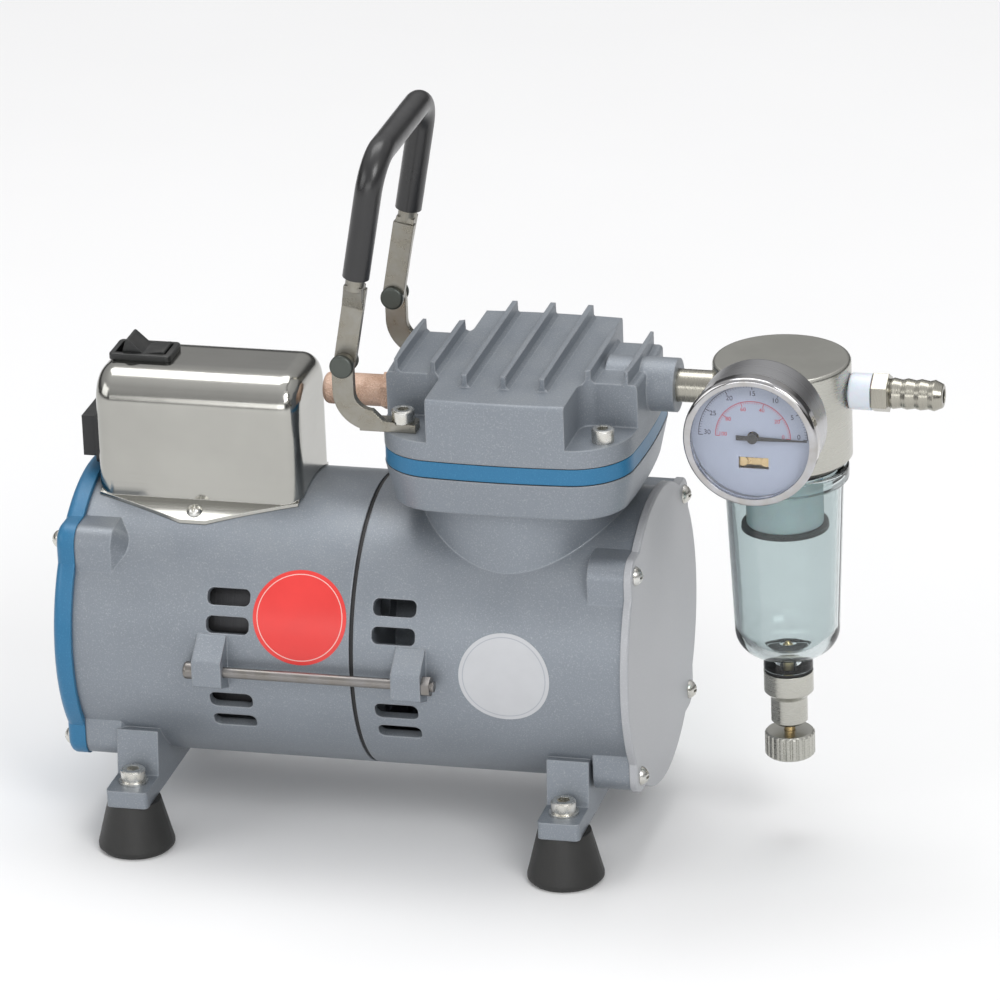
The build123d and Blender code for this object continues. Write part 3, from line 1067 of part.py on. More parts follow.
# ---------------------------------------------------------------- switch box
def box_solid(inset, floor_z):
    width = BOX_WIDTH - 2 * inset
    length = BOX_LENGTH - 2 * inset
    shape = Pos((BOX_X0 + BOX_X1) / 2, 0, floor_z) * Box(length, width, BOX_TOP_Z - inset - floor_z, align=ON_FLOOR)
    shape = fillet(shape.edges().filter_by(Axis.X).group_by(Axis.Z)[-1], BOX_EDGE_R - inset)
    return fillet(shape.faces().sort_by(Axis.X)[0].edges().filter_by(GeomType.CIRCLE)
                  + shape.faces().sort_by(Axis.X)[-1].edges().filter_by(GeomType.CIRCLE)
                  + shape.faces().sort_by(Axis.X)[0].edges().filter_by(Axis.Z)
                  + shape.faces().sort_by(Axis.X)[-1].edges().filter_by(Axis.Z)
                  + shape.faces().sort_by(Axis.X)[0].edges().filter_by(Axis.Y).sort_by(Axis.Z)[-1:]
                  + shape.faces().sort_by(Axis.X)[-1].edges().filter_by(Axis.Y).sort_by(Axis.Z)[-1:],
                  BOX_CORNER_R - inset)


def switch_box():
    """A drawn sheet cover whose foot is a saddle on the barrel, with a pointed tab on each side."""
    mid = (BOX_X0 + BOX_X1) / 2
    half = BOX_WIDTH / 2
    floor_z = AXIS_Z + BARREL_R - 8
    shell = box_solid(0, floor_z) - box_solid(BOX_SHEET, floor_z - 1)
    shell -= x_cylinder(LIP_R + LIP_THICK / 2, BOX_X0 - 1, BOX_X1 + 1)
    tab = Polyline((BOX_X0 + 1, half - 1), (mid - 5, half + LIP_REACH), (mid + 5, half + LIP_REACH),
                   (BOX_X1 - 1, half - 1), (BOX_X1 - 1, 1 - half), (mid + 5, -half - LIP_REACH),
                   (mid - 5, -half - LIP_REACH), (BOX_X0 + 1, 1 - half), close=True)
    inside = block(BOX_X0 + 6, BOX_X1 - 6, 6 - half, half - 6, AXIS_Z, AXIS_Z + 2 * BARREL_R)
    foot = x_cylinder(LIP_R + LIP_THICK, BOX_X0, BOX_X1) - x_cylinder(LIP_R, BOX_X0 - 1, BOX_X1 + 1)
    foot = foot & z_prism(make_face(tab), AXIS_Z, AXIS_Z + 2 * BARREL_R)
    shell += foot - inside
    top_hole = block(SWITCH_X - SWITCH_BODY_LENGTH / 2, SWITCH_X + SWITCH_BODY_LENGTH / 2, -SWITCH_BODY_WIDTH / 2,
                     SWITCH_BODY_WIDTH / 2, BOX_TOP_Z - 4, BOX_TOP_Z + 1)
    end_hole = block(BOX_X0 - 1, BOX_X0 + 4, 3 - INLET_WIDTH / 2, INLET_WIDTH / 2 - 3, INLET_Z - INLET_HEIGHT / 2 + 2,
                     INLET_Z + INLET_HEIGHT / 2 - 2)
    shell -= [top_hole, end_hole]
    for place in box_screw_places():
        shell -= place * Cylinder(BOX_SCREW_R + FIT, 12)
    return shell


def box_screw_places():
    """On the tab of each side, square to the barrel."""
    out = BOX_WIDTH / 2 + LIP_REACH - 4.5
    places = []
    for side in (-1, 1):
        tilt = degrees(atan2(out, (LIP_R**2 - out**2) ** 0.5))
        places.append(Pos((BOX_X0 + BOX_X1) / 2, 0, AXIS_Z) * Rot(-side * tilt, 0, 0) * Pos(0, 0, LIP_R + LIP_THICK))
    return places


def box_screws():
    return [place * pan_screw(BOX_SCREW_R, LIP_THICK - FIT, 3.0, 2.2) for place in box_screw_places()]


def switch_bezel():
    """The switch's frame: a rim on top of the box and a body inside it."""
    length, width = SWITCH_LENGTH, SWITCH_WIDTH
    rim = Pos(SWITCH_X, 0, BOX_TOP_Z) * extrude(RectangleRounded(length, width, 2.0), SWITCH_RIM_HEIGHT)
    rim = fillet(rim.edges().group_by(Axis.Z)[-1], 0.7)
    body = block(SWITCH_X - SWITCH_BODY_LENGTH / 2 + FIT, SWITCH_X + SWITCH_BODY_LENGTH / 2 - FIT,
                 FIT - SWITCH_BODY_WIDTH / 2, SWITCH_BODY_WIDTH / 2 - FIT, BOX_TOP_Z - SWITCH_DEPTH, BOX_TOP_Z + 0.5)
    well_x, well_y = length / 2 - SWITCH_RIM, width / 2 - SWITCH_RIM
    well = block(SWITCH_X - well_x, SWITCH_X + well_x, -well_y, well_y, BOX_TOP_Z - SWITCH_DEPTH + 3, BOX_TOP_Z + 4)
    pin_hole = y_cylinder(ROCKER_PIN_R + RUN, -SWITCH_BODY_WIDTH / 2, SWITCH_BODY_WIDTH / 2, SWITCH_X, ROCKER_Z)
    return rim + body - well - pin_hole


def switch_rocker():
    """A V-shaped rocker on a cross pin; drawn level, then tipped so that its left end stands up."""
    rise = 7.0
    half_x = (SWITCH_LENGTH / 2 - SWITCH_RIM - GAP - rise * sin(radians(ROCKER_TILT))) / cos(radians(ROCKER_TILT))
    half_y = SWITCH_WIDTH / 2 - SWITCH_RIM - GAP
    points = [(-half_x, rise), (-half_x, 1.0), (-half_x + 3, -5.5), (half_x - 3, -5.5), (half_x, 1.0)]
    points += [(half_x, rise), (0, 3.4)]
    rocker = extrude(make_face(Plane.XZ * Polyline(*points, close=True)), half_y, both=True)
    rocker = fillet(rocker.edges().filter_by(Axis.Y).group_by(Axis.Z)[-1], 0.8)
    pin_y = half_y + SWITCH_RIM / 2
    rocker += y_cylinder(ROCKER_PIN_R, -pin_y, pin_y, 0, 0)
    return Pos(SWITCH_X, 0, ROCKER_Z) * Rot(0, ROCKER_TILT, 0) * rocker


def power_inlet():
    """A three-pin appliance inlet on the left end of the box, without its cord."""
    flange = block(BOX_X0 - 2.2, BOX_X0, -INLET_WIDTH / 2, INLET_WIDTH / 2, INLET_Z - INLET_HEIGHT / 2,
                   INLET_Z + INLET_HEIGHT / 2)
    flange = fillet(flange.edges().filter_by(Axis.X), 2.5)
    half_y, half_z = INLET_WIDTH / 2 - 3 - FIT, INLET_HEIGHT / 2 - 2 - FIT
    body = block(BOX_X0 - INLET_REACH, BOX_X0 + 14, -half_y, half_y, INLET_Z - half_z, INLET_Z + half_z)
    recess = block(BOX_X0 - INLET_REACH - 1, BOX_X0 + 8, 1.4 - half_y, half_y - 1.4, INLET_Z - half_z + 1.4,
                   INLET_Z + half_z - 1.4)
    inlet = flange + body - recess
    for y, z in ((-5.0, -1.5), (0.0, 2.0), (5.0, -1.5)):
        inlet += block(BOX_X0 - 4, BOX_X0 + 9, y - 0.9, y + 0.9, INLET_Z + z - 2, INLET_Z + z + 2)
    return inlet


def run_capacitor():
    z = AXIS_Z + BARREL_R + LIP_THICK + CAPACITOR_SPACE + CAPACITOR_R
    x0, x1 = BOX_X0 + 29, BOX_X1 - 6
    can = x_cylinder(CAPACITOR_R, x0, x1, 4, z)
    can = fillet(can.edges(), 1.2)
    return can + x_cylinder(2, x0 - 6, x0 + 1, 0, z) + x_cylinder(2, x0 - 6, x0 + 1, 8, z)


# ---------------------------------------------------------------- the whole object
NODES = {
    "motor_housing": motor_housing(),
    "crankcase": crankcase(),
    "seam_gasket": seam_gasket(),
    "rear_end_cover": rear_cover(),
    "front_end_cover": front_cover(),
    "cover_screws": cover_screws(),
    "tie_rods": tie_rods(),
    "rubber_feet": rubber_feet(),
    "foot_screws": foot_screws(),
    "stator_core": stator_core(),
    "stator_windings": stator_windings(),
    "rotor": rotor(),
    "motor_shaft": motor_shaft(),
    "counterweight": counterweight(),
    "cooling_fans": [fan(FAN_X0, SHAFT_R), fan(FRONT_FAN_X1 - FAN_LENGTH, FAN_STUB_R)],
    "bearing_outer_races": outer_races(),
    "bearing_inner_races": inner_races(),
    "crank_bearing": crank_bearing(),
    "connecting_rod": connecting_rod(),
    "cup_seal": cup_seal(),
    "piston_clamp": piston_clamp(),
    "cylinder_sleeve": sleeve(),
    "head_gaskets": [lower_gasket(), upper_gasket()],
    "valve_plate": valve_plate(),
    "valve_reeds": [reed(1, PLATE_Z - REED_THICK), reed(-1, PLATE_TOP_Z)],
    "reed_screws": reed_screws(),
    "cylinder_head": cylinder_head(),
    "head_screws": head_screws(),
    "exhaust_silencer": exhaust_silencer(),
    "handle_brackets": [bracket(-1), bracket(1)],
    "handle_rivets": handle_rivets(),
    "handle_bail": handle_bail(),
    "handle_grip": handle_grip(),
    "inlet_nipple": inlet_nipple(),
    "trap_head": trap_head(),
    "trap_bowl": trap_bowl(),
    "bowl_o_ring": bowl_o_ring(),
    "filter_element": filter_element(),
    "filter_bolt": filter_bolt(),
    "trap_baffle": trap_baffle(),
    "drain_body": drain_body(),
    "drain_seal": drain_seal(),
    "drain_stem": drain_stem(),
    "drain_knob": drain_knob(),
    "barb_collar": barb_collar(),
    "hose_barb": hose_barb(),
    "gauge_case": gauge_case(),
    "gauge_bezel": gauge_bezel(),
    "gauge_lens": gauge_lens(),
    "gauge_dial": gauge_dial(),
    "gauge_movement": bourdon_movement(),
    "gauge_nipple": gauge_nipple(),
    "gauge_needle": gauge_needle(),
    "switch_box": switch_box(),
    "box_screws": box_screws(),
    "switch_bezel": switch_bezel(),
    "switch_rocker": switch_rocker(),
    "power_inlet": power_inlet(),
    "run_capacitor": run_capacitor(),
}


def as_compound(shape):
    """Every solid of a node, whether it was made as one shape or as a list of them."""
    shapes = shape if isinstance(shape, list) else [shape]
    return Compound([solid for one in shapes for solid in one.solids()])


COMPOUNDS = {name: as_compound(shape) for name, shape in NODES.items()}
WHOLE = Compound(list(COMPOUNDS.values())).bounding_box()
ORIGIN = Vector((WHOLE.min.X + WHOLE.max.X) / 2, (WHOLE.min.Y + WHOLE.max.Y) / 2, WHOLE.min.Z)

os.makedirs("parts", exist_ok=True)
for name, compound in COMPOUNDS.items():
    export_step(Pos(-ORIGIN.X, -ORIGIN.Y, -ORIGIN.Z) * compound, f"parts/{name}.step")
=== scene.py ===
import bmesh
import bpy
from math import cos, pi, radians, sin
from mathutils import Matrix, Vector


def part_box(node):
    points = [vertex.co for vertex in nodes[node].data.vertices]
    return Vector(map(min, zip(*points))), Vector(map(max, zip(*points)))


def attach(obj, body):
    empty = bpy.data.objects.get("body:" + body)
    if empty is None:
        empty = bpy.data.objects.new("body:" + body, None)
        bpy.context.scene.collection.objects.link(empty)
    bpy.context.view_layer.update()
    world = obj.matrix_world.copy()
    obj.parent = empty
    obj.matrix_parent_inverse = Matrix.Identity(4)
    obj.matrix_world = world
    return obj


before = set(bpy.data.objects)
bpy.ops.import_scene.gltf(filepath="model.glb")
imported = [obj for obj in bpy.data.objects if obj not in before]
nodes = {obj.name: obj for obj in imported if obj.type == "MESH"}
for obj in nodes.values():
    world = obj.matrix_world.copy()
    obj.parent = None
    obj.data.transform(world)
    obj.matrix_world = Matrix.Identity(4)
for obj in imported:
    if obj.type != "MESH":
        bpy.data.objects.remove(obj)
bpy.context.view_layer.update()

# ------------------------------------------------------------------ painted castings
# Motor housing, crankcase and cylinder head are die castings with a satin silver-grey metallic paint.
# The paint has a fine flake and a faint orange peel over the cast skin; its colour is made lighter along the
# edges, a painted highlight.


def shader_group(name, inputs, outputs):
    """A shader node group with named float, colour or vector sockets; returns it with its two end nodes."""
    group = bpy.data.node_groups.new(name, "ShaderNodeTree")
    kinds = {"value": "NodeSocketFloat", "colour": "NodeSocketColor", "vector": "NodeSocketVector"}
    for label, kind, value in inputs:
        socket = group.interface.new_socket(label, in_out="INPUT", socket_type=kinds[kind])
        if value is not None:
            socket.default_value = value
    for label, kind in outputs:
        group.interface.new_socket(label, in_out="OUTPUT", socket_type=kinds[kind])
    return group, group.nodes.new("NodeGroupInput"), group.nodes.new("NodeGroupOutput")


def add(tree, kind, **values):
    """A node of that kind, with its properties and its inputs set by name."""
    node = tree.nodes.new(kind)
    for label, value in values.items():
        if hasattr(node, label):
            setattr(node, label, value)
        else:
            node.inputs[label.replace("_", " ")].default_value = value
    return node


def math_node(tree, operation, first, second=None, clamp=False):
    node = tree.nodes.new("ShaderNodeMath")
    node.operation = operation
    node.use_clamp = clamp
    for socket, value in zip(node.inputs, (first, second)):
        if isinstance(value, bpy.types.NodeSocket):
            tree.links.new(value, socket)
        elif value is not None:
            socket.default_value = value
    return node.outputs[0]


def span(tree, value, low, high, to_low=0.0, to_high=1.0):
    """Maps a value from one span to another, and holds it at the ends."""
    node = tree.nodes.new("ShaderNodeMapRange")
    tree.links.new(value, node.inputs["Value"])
    node.inputs["From Min"].default_value = low
    node.inputs["From Max"].default_value = high
    node.inputs["To Min"].default_value = to_low
    node.inputs["To Max"].default_value = to_high
    return node.outputs["Result"]


def build_mottle():
    """Soft cloudy variation and a fine grain, both from the piece's own coordinates in metres."""
    group, start, end = shader_group(
        "mottle",
        [("Cloud Scale", "value", 30.0), ("Grain Scale", "value", 2500.0)],
        [("Cloud", "value"), ("Grain", "value")],
    )
    where = group.nodes.new("ShaderNodeTexCoord").outputs["Object"]
    for label, detail, low, high in (("Cloud", 4.0, 0.35, 0.65), ("Grain", 2.0, 0.3, 0.7)):
        noise = add(group, "ShaderNodeTexNoise", Detail=detail, Roughness=0.6)
        group.links.new(where, noise.inputs["Vector"])
        group.links.new(start.outputs[label + " Scale"], noise.inputs["Scale"])
        group.links.new(span(group, noise.outputs["Fac"], low, high), end.inputs[label])
    return group


def build_rounded_edge():
    """Normals that turn softly over each edge, and a mask of the edges."""
    group, start, end = shader_group(
        "rounded_edge", [("Radius", "value", 0.0006)], [("Normal", "vector"), ("Edge", "value")]
    )
    bevel = group.nodes.new("ShaderNodeBevel")
    bevel.samples = 6
    group.links.new(start.outputs["Radius"], bevel.inputs["Radius"])
    plain = group.nodes.new("ShaderNodeNewGeometry")
    dot = group.nodes.new("ShaderNodeVectorMath")
    dot.operation = "DOT_PRODUCT"
    group.links.new(bevel.outputs["Normal"], dot.inputs[0])
    group.links.new(plain.outputs["Normal"], dot.inputs[1])
    group.links.new(bevel.outputs["Normal"], end.inputs["Normal"])
    group.links.new(span(group, dot.outputs["Value"], 0.995, 0.8), end.inputs["Edge"])
    return group


def build_dust():
    """A mask of the faces that look up, broken by a soft noise, where dust settles."""
    group, start, end = shader_group("settled_dust", [("Scale", "value", 60.0)], [("Dust", "value")])
    where = group.nodes.new("ShaderNodeTexCoord").outputs["Object"]
    up = group.nodes.new("ShaderNodeSeparateXYZ")
    group.links.new(group.nodes.new("ShaderNodeNewGeometry").outputs["Normal"], up.inputs[0])
    noise = add(group, "ShaderNodeTexNoise", Detail=5.0, Roughness=0.65)
    group.links.new(where, noise.inputs["Vector"])
    group.links.new(start.outputs["Scale"], noise.inputs["Scale"])
    facing = span(group, up.outputs["Z"], 0.2, 0.95)
    broken = span(group, noise.outputs["Fac"], 0.4, 0.75)
    group.links.new(math_node(group, "MULTIPLY", facing, broken), end.inputs["Dust"])
    return group


mottle = build_mottle()
rounded_edge = build_rounded_edge()
settled_dust = build_dust()


def use(tree, group, **values):
    """Places a group in a material's tree with its own values."""
    node = tree.nodes.new("ShaderNodeGroup")
    node.node_tree = group
    for label, value in values.items():
        node.inputs[label.replace("_", " ")].default_value = value
    return node


def blank_material(name, **principled):
    """A material with a Principled shader, its constants set on the shader's own sockets."""
    material = bpy.data.materials.new(name)
    material.use_nodes = True
    shader = material.node_tree.nodes["Principled BSDF"]
    for label, value in principled.items():
        shader.inputs[label.replace("_", " ")].default_value = value
    return material, material.node_tree, shader


def blend_colours(tree, mask, low, high):
    """Mixes two colours, or a socket's colour and another, by a mask."""
    mix = tree.nodes.new("ShaderNodeMix")
    mix.data_type = "RGBA"
    tree.links.new(mask, mix.inputs["Factor"])
    for label, colour in (("A", low), ("B", high)):
        socket = [one for one in mix.inputs if one.name == label and one.type == "RGBA"][0]
        if isinstance(colour, bpy.types.NodeSocket):
            tree.links.new(colour, socket)
        else:
            socket.default_value = (*colour, 1.0)
    return [one for one in mix.outputs if one.type == "RGBA"][0]


def bump(tree, shader, height, distance, strength, normal=None):
    node = add(tree, "ShaderNodeBump", Strength=strength, Distance=distance)
    tree.links.new(height, node.inputs["Height"])
    if normal is not None:
        tree.links.new(normal, node.inputs["Normal"])
    tree.links.new(node.outputs["Normal"], shader.inputs["Normal"])


def painted_casting(name, colour, bright, metallic, roughness, skin, edge_radius):
    """Metallic paint over a cast skin; skin is the height of the orange peel in metres."""
    material, tree, shader = blank_material(name, Metallic=metallic, Coat_Weight=0.15, Coat_Roughness=0.35)
    pattern = use(tree, mottle, Cloud_Scale=22.0, Grain_Scale=1800.0)
    edges = use(tree, rounded_edge, Radius=edge_radius)
    dust = use(tree, settled_dust, Scale=45.0)
    shade = [c * 0.93 for c in colour]
    paint = blend_colours(tree, pattern.outputs["Cloud"], shade, colour)
    flake = blend_colours(tree, span(tree, pattern.outputs["Grain"], 0.6, 1.0, 0.0, 0.25), paint, bright)
    # Lighter along the edges: a painted highlight, blended toward the bright tone by the edge mask.
    edge_highlight = blend_colours(tree, math_node(tree, "MULTIPLY", edges.outputs["Edge"], 0.35), flake, bright)
    settled = math_node(tree, "MULTIPLY", dust.outputs["Dust"], 0.10)
    dusty = blend_colours(tree, settled, edge_highlight, (0.55, 0.54, 0.5))
    tree.links.new(dusty, shader.inputs["Base Color"])
    rough = span(tree, pattern.outputs["Cloud"], 0.0, 1.0, roughness - 0.04, roughness + 0.05)
    tree.links.new(rough, shader.inputs["Roughness"])
    bump(tree, shader, pattern.outputs["Grain"], skin, 0.6, edges.outputs["Normal"])
    return material


def dress(material, *names):
    """Gives CAD nodes their finish; each keeps its own shape and place."""
    for name in names:
        slots = nodes[name].data.materials
        slots.clear()
        slots.append(material)


silver = (0.232, 0.258, 0.290)
silver_bright = (0.55, 0.57, 0.6)
barrel_paint = painted_casting("silver_paint", silver, silver_bright, 0.45, 0.42, 0.00004, 0.0009)
dress(barrel_paint, "motor_housing", "crankcase")
head_paint = painted_casting("silver_paint_head", silver, silver_bright, 0.40, 0.48, 0.00009, 0.0010)
dress(head_paint, "cylinder_head")

# ------------------------------------------------------------------ blue parts
# The fan cover on the rear end and the valve plate under the head are cast, and carry the same mid-blue
# satin paint. Screws hold the cover to the lobes, and the head's screws clamp the plate.
blue = (0.014, 0.148, 0.30)
blue_bright = (0.06, 0.28, 0.48)
blue_paint = painted_casting("blue_paint", blue, blue_bright, 0.10, 0.40, 0.00003, 0.0008)
dress(blue_paint, "rear_end_cover", "valve_plate")

# ------------------------------------------------------------------ grey front cover
# A flat steel plate that closes the crankcase, held by four screws in the lobes.
# It is painted a lighter, smoother grey than the castings.
grey = (0.40, 0.41, 0.43)
grey_bright = (0.62, 0.63, 0.65)
dress(painted_casting("grey_paint", grey, grey_bright, 0.15, 0.42, 0.00003, 0.0006), "front_end_cover")

# ------------------------------------------------------------------ screws, tie rods and their nuts
# Zinc-plated steel with a slight yellow-blue cast of the plating and a fine grain.
# The screws are bright, and the two tie rods that pull the barrel's halves together are duller.


def plated_metal(name, colour, roughness, scratch=0.00002, edge_radius=0.0003, tint=(1.0, 0.97, 0.9)):
    """Metal under a thin plating; scratch is the height of its grain in metres, tint its duller patches."""
    material, tree, shader = blank_material(name, Metallic=1.0)
    pattern = use(tree, mottle, Cloud_Scale=160.0, Grain_Scale=4200.0)
    edges = use(tree, rounded_edge, Radius=edge_radius)
    warm = [c * t * 0.86 for c, t in zip(colour, tint)]
    tree.links.new(blend_colours(tree, pattern.outputs["Cloud"], warm, colour), shader.inputs["Base Color"])
    rough = span(tree, pattern.outputs["Cloud"], 0.0, 1.0, roughness * 0.8, roughness * 1.25)
    tree.links.new(rough, shader.inputs["Roughness"])
    bump(tree, shader, pattern.outputs["Grain"], scratch, 0.5, edges.outputs["Normal"])
    return material


zinc = plated_metal("zinc_plate", (0.70, 0.70, 0.68), 0.26)
dress(zinc, "cover_screws", "head_screws", "foot_screws", "box_screws", "reed_screws")
dress(plated_metal("dull_zinc", (0.26, 0.25, 0.245), 0.34), "tie_rods")

# ------------------------------------------------------------------ handle strip, brackets and rivets
# The brackets are bent from nickel-plated steel strip and screwed down with the head; the bail is rod of
# the same finish, flattened at its ends. The rivets that it turns on are blackened steel.
nickel_strip = plated_metal("nickel_strip", (0.31, 0.30, 0.27), 0.30, 0.00004, 0.0005)
dress(nickel_strip, "handle_bail", "handle_brackets")
dress(plated_metal("black_oxide", (0.11, 0.12, 0.11), 0.42, 0.00004, 0.0006, (1, 1, 1)), "handle_rivets")

# ------------------------------------------------------------------ trap head, drain, barb and nipple
# Lathe-turned and satin nickel plated, so fine rings run round each piece's own axis.
# The pieces screw into one another, and the gauge's case hangs on the front of the trap head.


def build_lathe_rings():
    """Fine uneven rings along one axis of the piece."""
    group, start, end = shader_group(
        "lathe_rings",
        [("Direction", "vector", (0.0, 0.0, 1.0)), ("Pitch", "value", 2500.0)],
        [("Rings", "value")],
    )
    where = group.nodes.new("ShaderNodeTexCoord").outputs["Object"]
    along = group.nodes.new("ShaderNodeVectorMath")
    along.operation = "DOT_PRODUCT"
    group.links.new(where, along.inputs[0])
    group.links.new(start.outputs["Direction"], along.inputs[1])
    noise = add(group, "ShaderNodeTexNoise", noise_dimensions="1D", Detail=6.0, Roughness=0.75)
    group.links.new(along.outputs["Value"], noise.inputs["W"])
    group.links.new(start.outputs["Pitch"], noise.inputs["Scale"])
    group.links.new(span(group, noise.outputs["Fac"], 0.3, 0.7), end.inputs["Rings"])
    return group


lathe_rings = build_lathe_rings()


def turned_metal(name, colour, roughness, direction, ring_height=0.000012, edge_radius=0.0005):
    """Metal with lathe rings across a direction, which is the piece's own axis."""
    material, tree, shader = blank_material(name, Metallic=1.0)
    pattern = use(tree, mottle, Cloud_Scale=50.0, Grain_Scale=3000.0)
    rings = use(tree, lathe_rings, Direction=direction, Pitch=1400.0)
    edges = use(tree, rounded_edge, Radius=edge_radius)
    shade = [c * 0.9 for c in colour]
    tree.links.new(blend_colours(tree, pattern.outputs["Cloud"], shade, colour), shader.inputs["Base Color"])
    rough = span(tree, rings.outputs["Rings"], 0.0, 1.0, roughness - 0.05, roughness + 0.07)
    tree.links.new(rough, shader.inputs["Roughness"])
    bump(tree, shader, rings.outputs["Rings"], ring_height, 0.5, edges.outputs["Normal"])
    return material


alloy = (0.53, 0.525, 0.48)
dress(turned_metal("turned_upright", alloy, 0.27, (0, 0, 1)), "trap_head", "drain_body", "drain_knob")
dress(turned_metal("turned_lengthwise", (0.40, 0.385, 0.335), 0.25, (1, 0, 0)), "hose_barb", "inlet_nipple")
dress(turned_metal("turned_gauge", (0.52, 0.52, 0.53), 0.30, (0, 1, 0)), "gauge_case")

# ------------------------------------------------------------------ sheet-metal switch box
# Drawn from polished stainless sheet: nearly a mirror, with faint drawing marks and long soft waves.
# Its lip follows the barrel and is held by a screw on each side.


def polished_sheet(name, colour):
    """Bright sheet whose drawing marks run mostly sideways."""
    material, tree, shader = blank_material(name, Metallic=1.0)
    pattern = use(tree, mottle, Cloud_Scale=18.0, Grain_Scale=900.0)
    edges = use(tree, rounded_edge, Radius=0.0004)
    where = tree.nodes.new("ShaderNodeTexCoord").outputs["Object"]
    stretch = add(tree, "ShaderNodeMapping", vector_type="POINT", Scale=(6.0, 60.0, 1800.0))
    tree.links.new(where, stretch.inputs["Vector"])
    marks = add(tree, "ShaderNodeTexNoise", Scale=1.0, Detail=4.0, Roughness=0.7)
    tree.links.new(stretch.outputs["Vector"], marks.inputs["Vector"])
    shade = [c * 0.88 for c in colour]
    tree.links.new(blend_colours(tree, pattern.outputs["Cloud"], shade, colour), shader.inputs["Base Color"])
    rough = span(tree, marks.outputs["Fac"], 0.3, 0.7, 0.10, 0.22)
    tree.links.new(rough, shader.inputs["Roughness"])
    bump(tree, shader, pattern.outputs["Cloud"], 0.00006, 0.35, edges.outputs["Normal"])
    return material


dress(polished_sheet("polished_stainless", (0.44, 0.435, 0.405)), "switch_box")

# ------------------------------------------------------------------ chrome bezel
# A pressed steel ring, chromed over its whole face, that snaps on the case and holds the window in.
# It is the glossiest metal on the pump.
dress(plated_metal("chrome", (0.50, 0.50, 0.52), 0.07, 0.000002, 0.0003), "gauge_bezel")

# ------------------------------------------------------------------ black parts
# Rubber feet, the dipped vinyl grip, the moulded switch and inlet, the baffle, the fans and the seals.
# The feet and seals are duller, the grip has a slight gloss, and dust settles on what looks up.


def black_moulding(name, tone, roughness, grain_height, coat=0.0, dust_amount=0.15, edge_radius=0.0006):
    """Rubber or plastic of one dark tone, with a fine grain and a little dust."""
    material, tree, shader = blank_material(name, Coat_Weight=coat, Coat_Roughness=0.2)
    pattern = use(tree, mottle, Cloud_Scale=70.0, Grain_Scale=2600.0)
    edges = use(tree, rounded_edge, Radius=edge_radius)
    dust = use(tree, settled_dust, Scale=110.0)
    dark = [c * 0.75 for c in tone]
    base = blend_colours(tree, pattern.outputs["Cloud"], dark, tone)
    mask = math_node(tree, "MULTIPLY", dust.outputs["Dust"], dust_amount)
    tree.links.new(blend_colours(tree, mask, base, (0.25, 0.24, 0.22)), shader.inputs["Base Color"])
    rough = span(tree, pattern.outputs["Cloud"], 0.0, 1.0, roughness - 0.05, roughness + 0.08)
    tree.links.new(rough, shader.inputs["Roughness"])
    bump(tree, shader, pattern.outputs["Grain"], grain_height, 0.5, edges.outputs["Normal"])
    return material


dress(black_moulding("foot_rubber", (0.022, 0.022, 0.021), 0.50, 0.00005), "rubber_feet")
dress(black_moulding("grip_vinyl", (0.016, 0.016, 0.017), 0.32, 0.00002, 0.3, 0.08), "handle_grip")
dress(black_moulding("switch_plastic", (0.020, 0.021, 0.021), 0.33, 0.00003), "switch_bezel", "switch_rocker")
dress(black_moulding("inlet_plastic", (0.020, 0.020, 0.021), 0.45, 0.00004), "power_inlet", "trap_baffle")
seal_rubber = black_moulding("seal_rubber", (0.014, 0.014, 0.015), 0.55, 0.00003)
dress(seal_rubber, "seam_gasket", "head_gaskets", "bowl_o_ring", "drain_seal", "cooling_fans")

# ------------------------------------------------------------------ white plastic
# The bush between the trap head and the barb and the capacitor's case are smooth acetal.
# The filter candle inside the bowl is porous and rougher, and looks grey-green through the bowl.


def white_moulding(name, tone, roughness, grain_scale, grain_height):
    """Pale plastic that lets a little light into its skin."""
    material, tree, shader = blank_material(name, Subsurface_Weight=0.25, Subsurface_Scale=0.002)
    pattern = use(tree, mottle, Cloud_Scale=90.0, Grain_Scale=grain_scale)
    edges = use(tree, rounded_edge, Radius=0.0005)
    shade = [c * 0.93 for c in tone]
    tree.links.new(blend_colours(tree, pattern.outputs["Cloud"], shade, tone), shader.inputs["Base Color"])
    rough = span(tree, pattern.outputs["Grain"], 0.0, 1.0, roughness - 0.05, roughness + 0.05)
    tree.links.new(rough, shader.inputs["Roughness"])
    bump(tree, shader, pattern.outputs["Grain"], grain_height, 0.5, edges.outputs["Normal"])
    return material


dress(white_moulding("acetal", (0.74, 0.79, 0.86), 0.35, 2200.0, 0.00001), "barb_collar", "run_capacitor")
dress(white_moulding("porous_filter", (0.46, 0.53, 0.54), 0.70, 1500.0, 0.0001), "filter_element")

# ------------------------------------------------------------------ clear bowl and gauge window
# The bowl is moulded in pale blue-green polycarbonate and screws up into the trap head; the window is clear.
# Lamps shine through both, so what is inside stays lit.


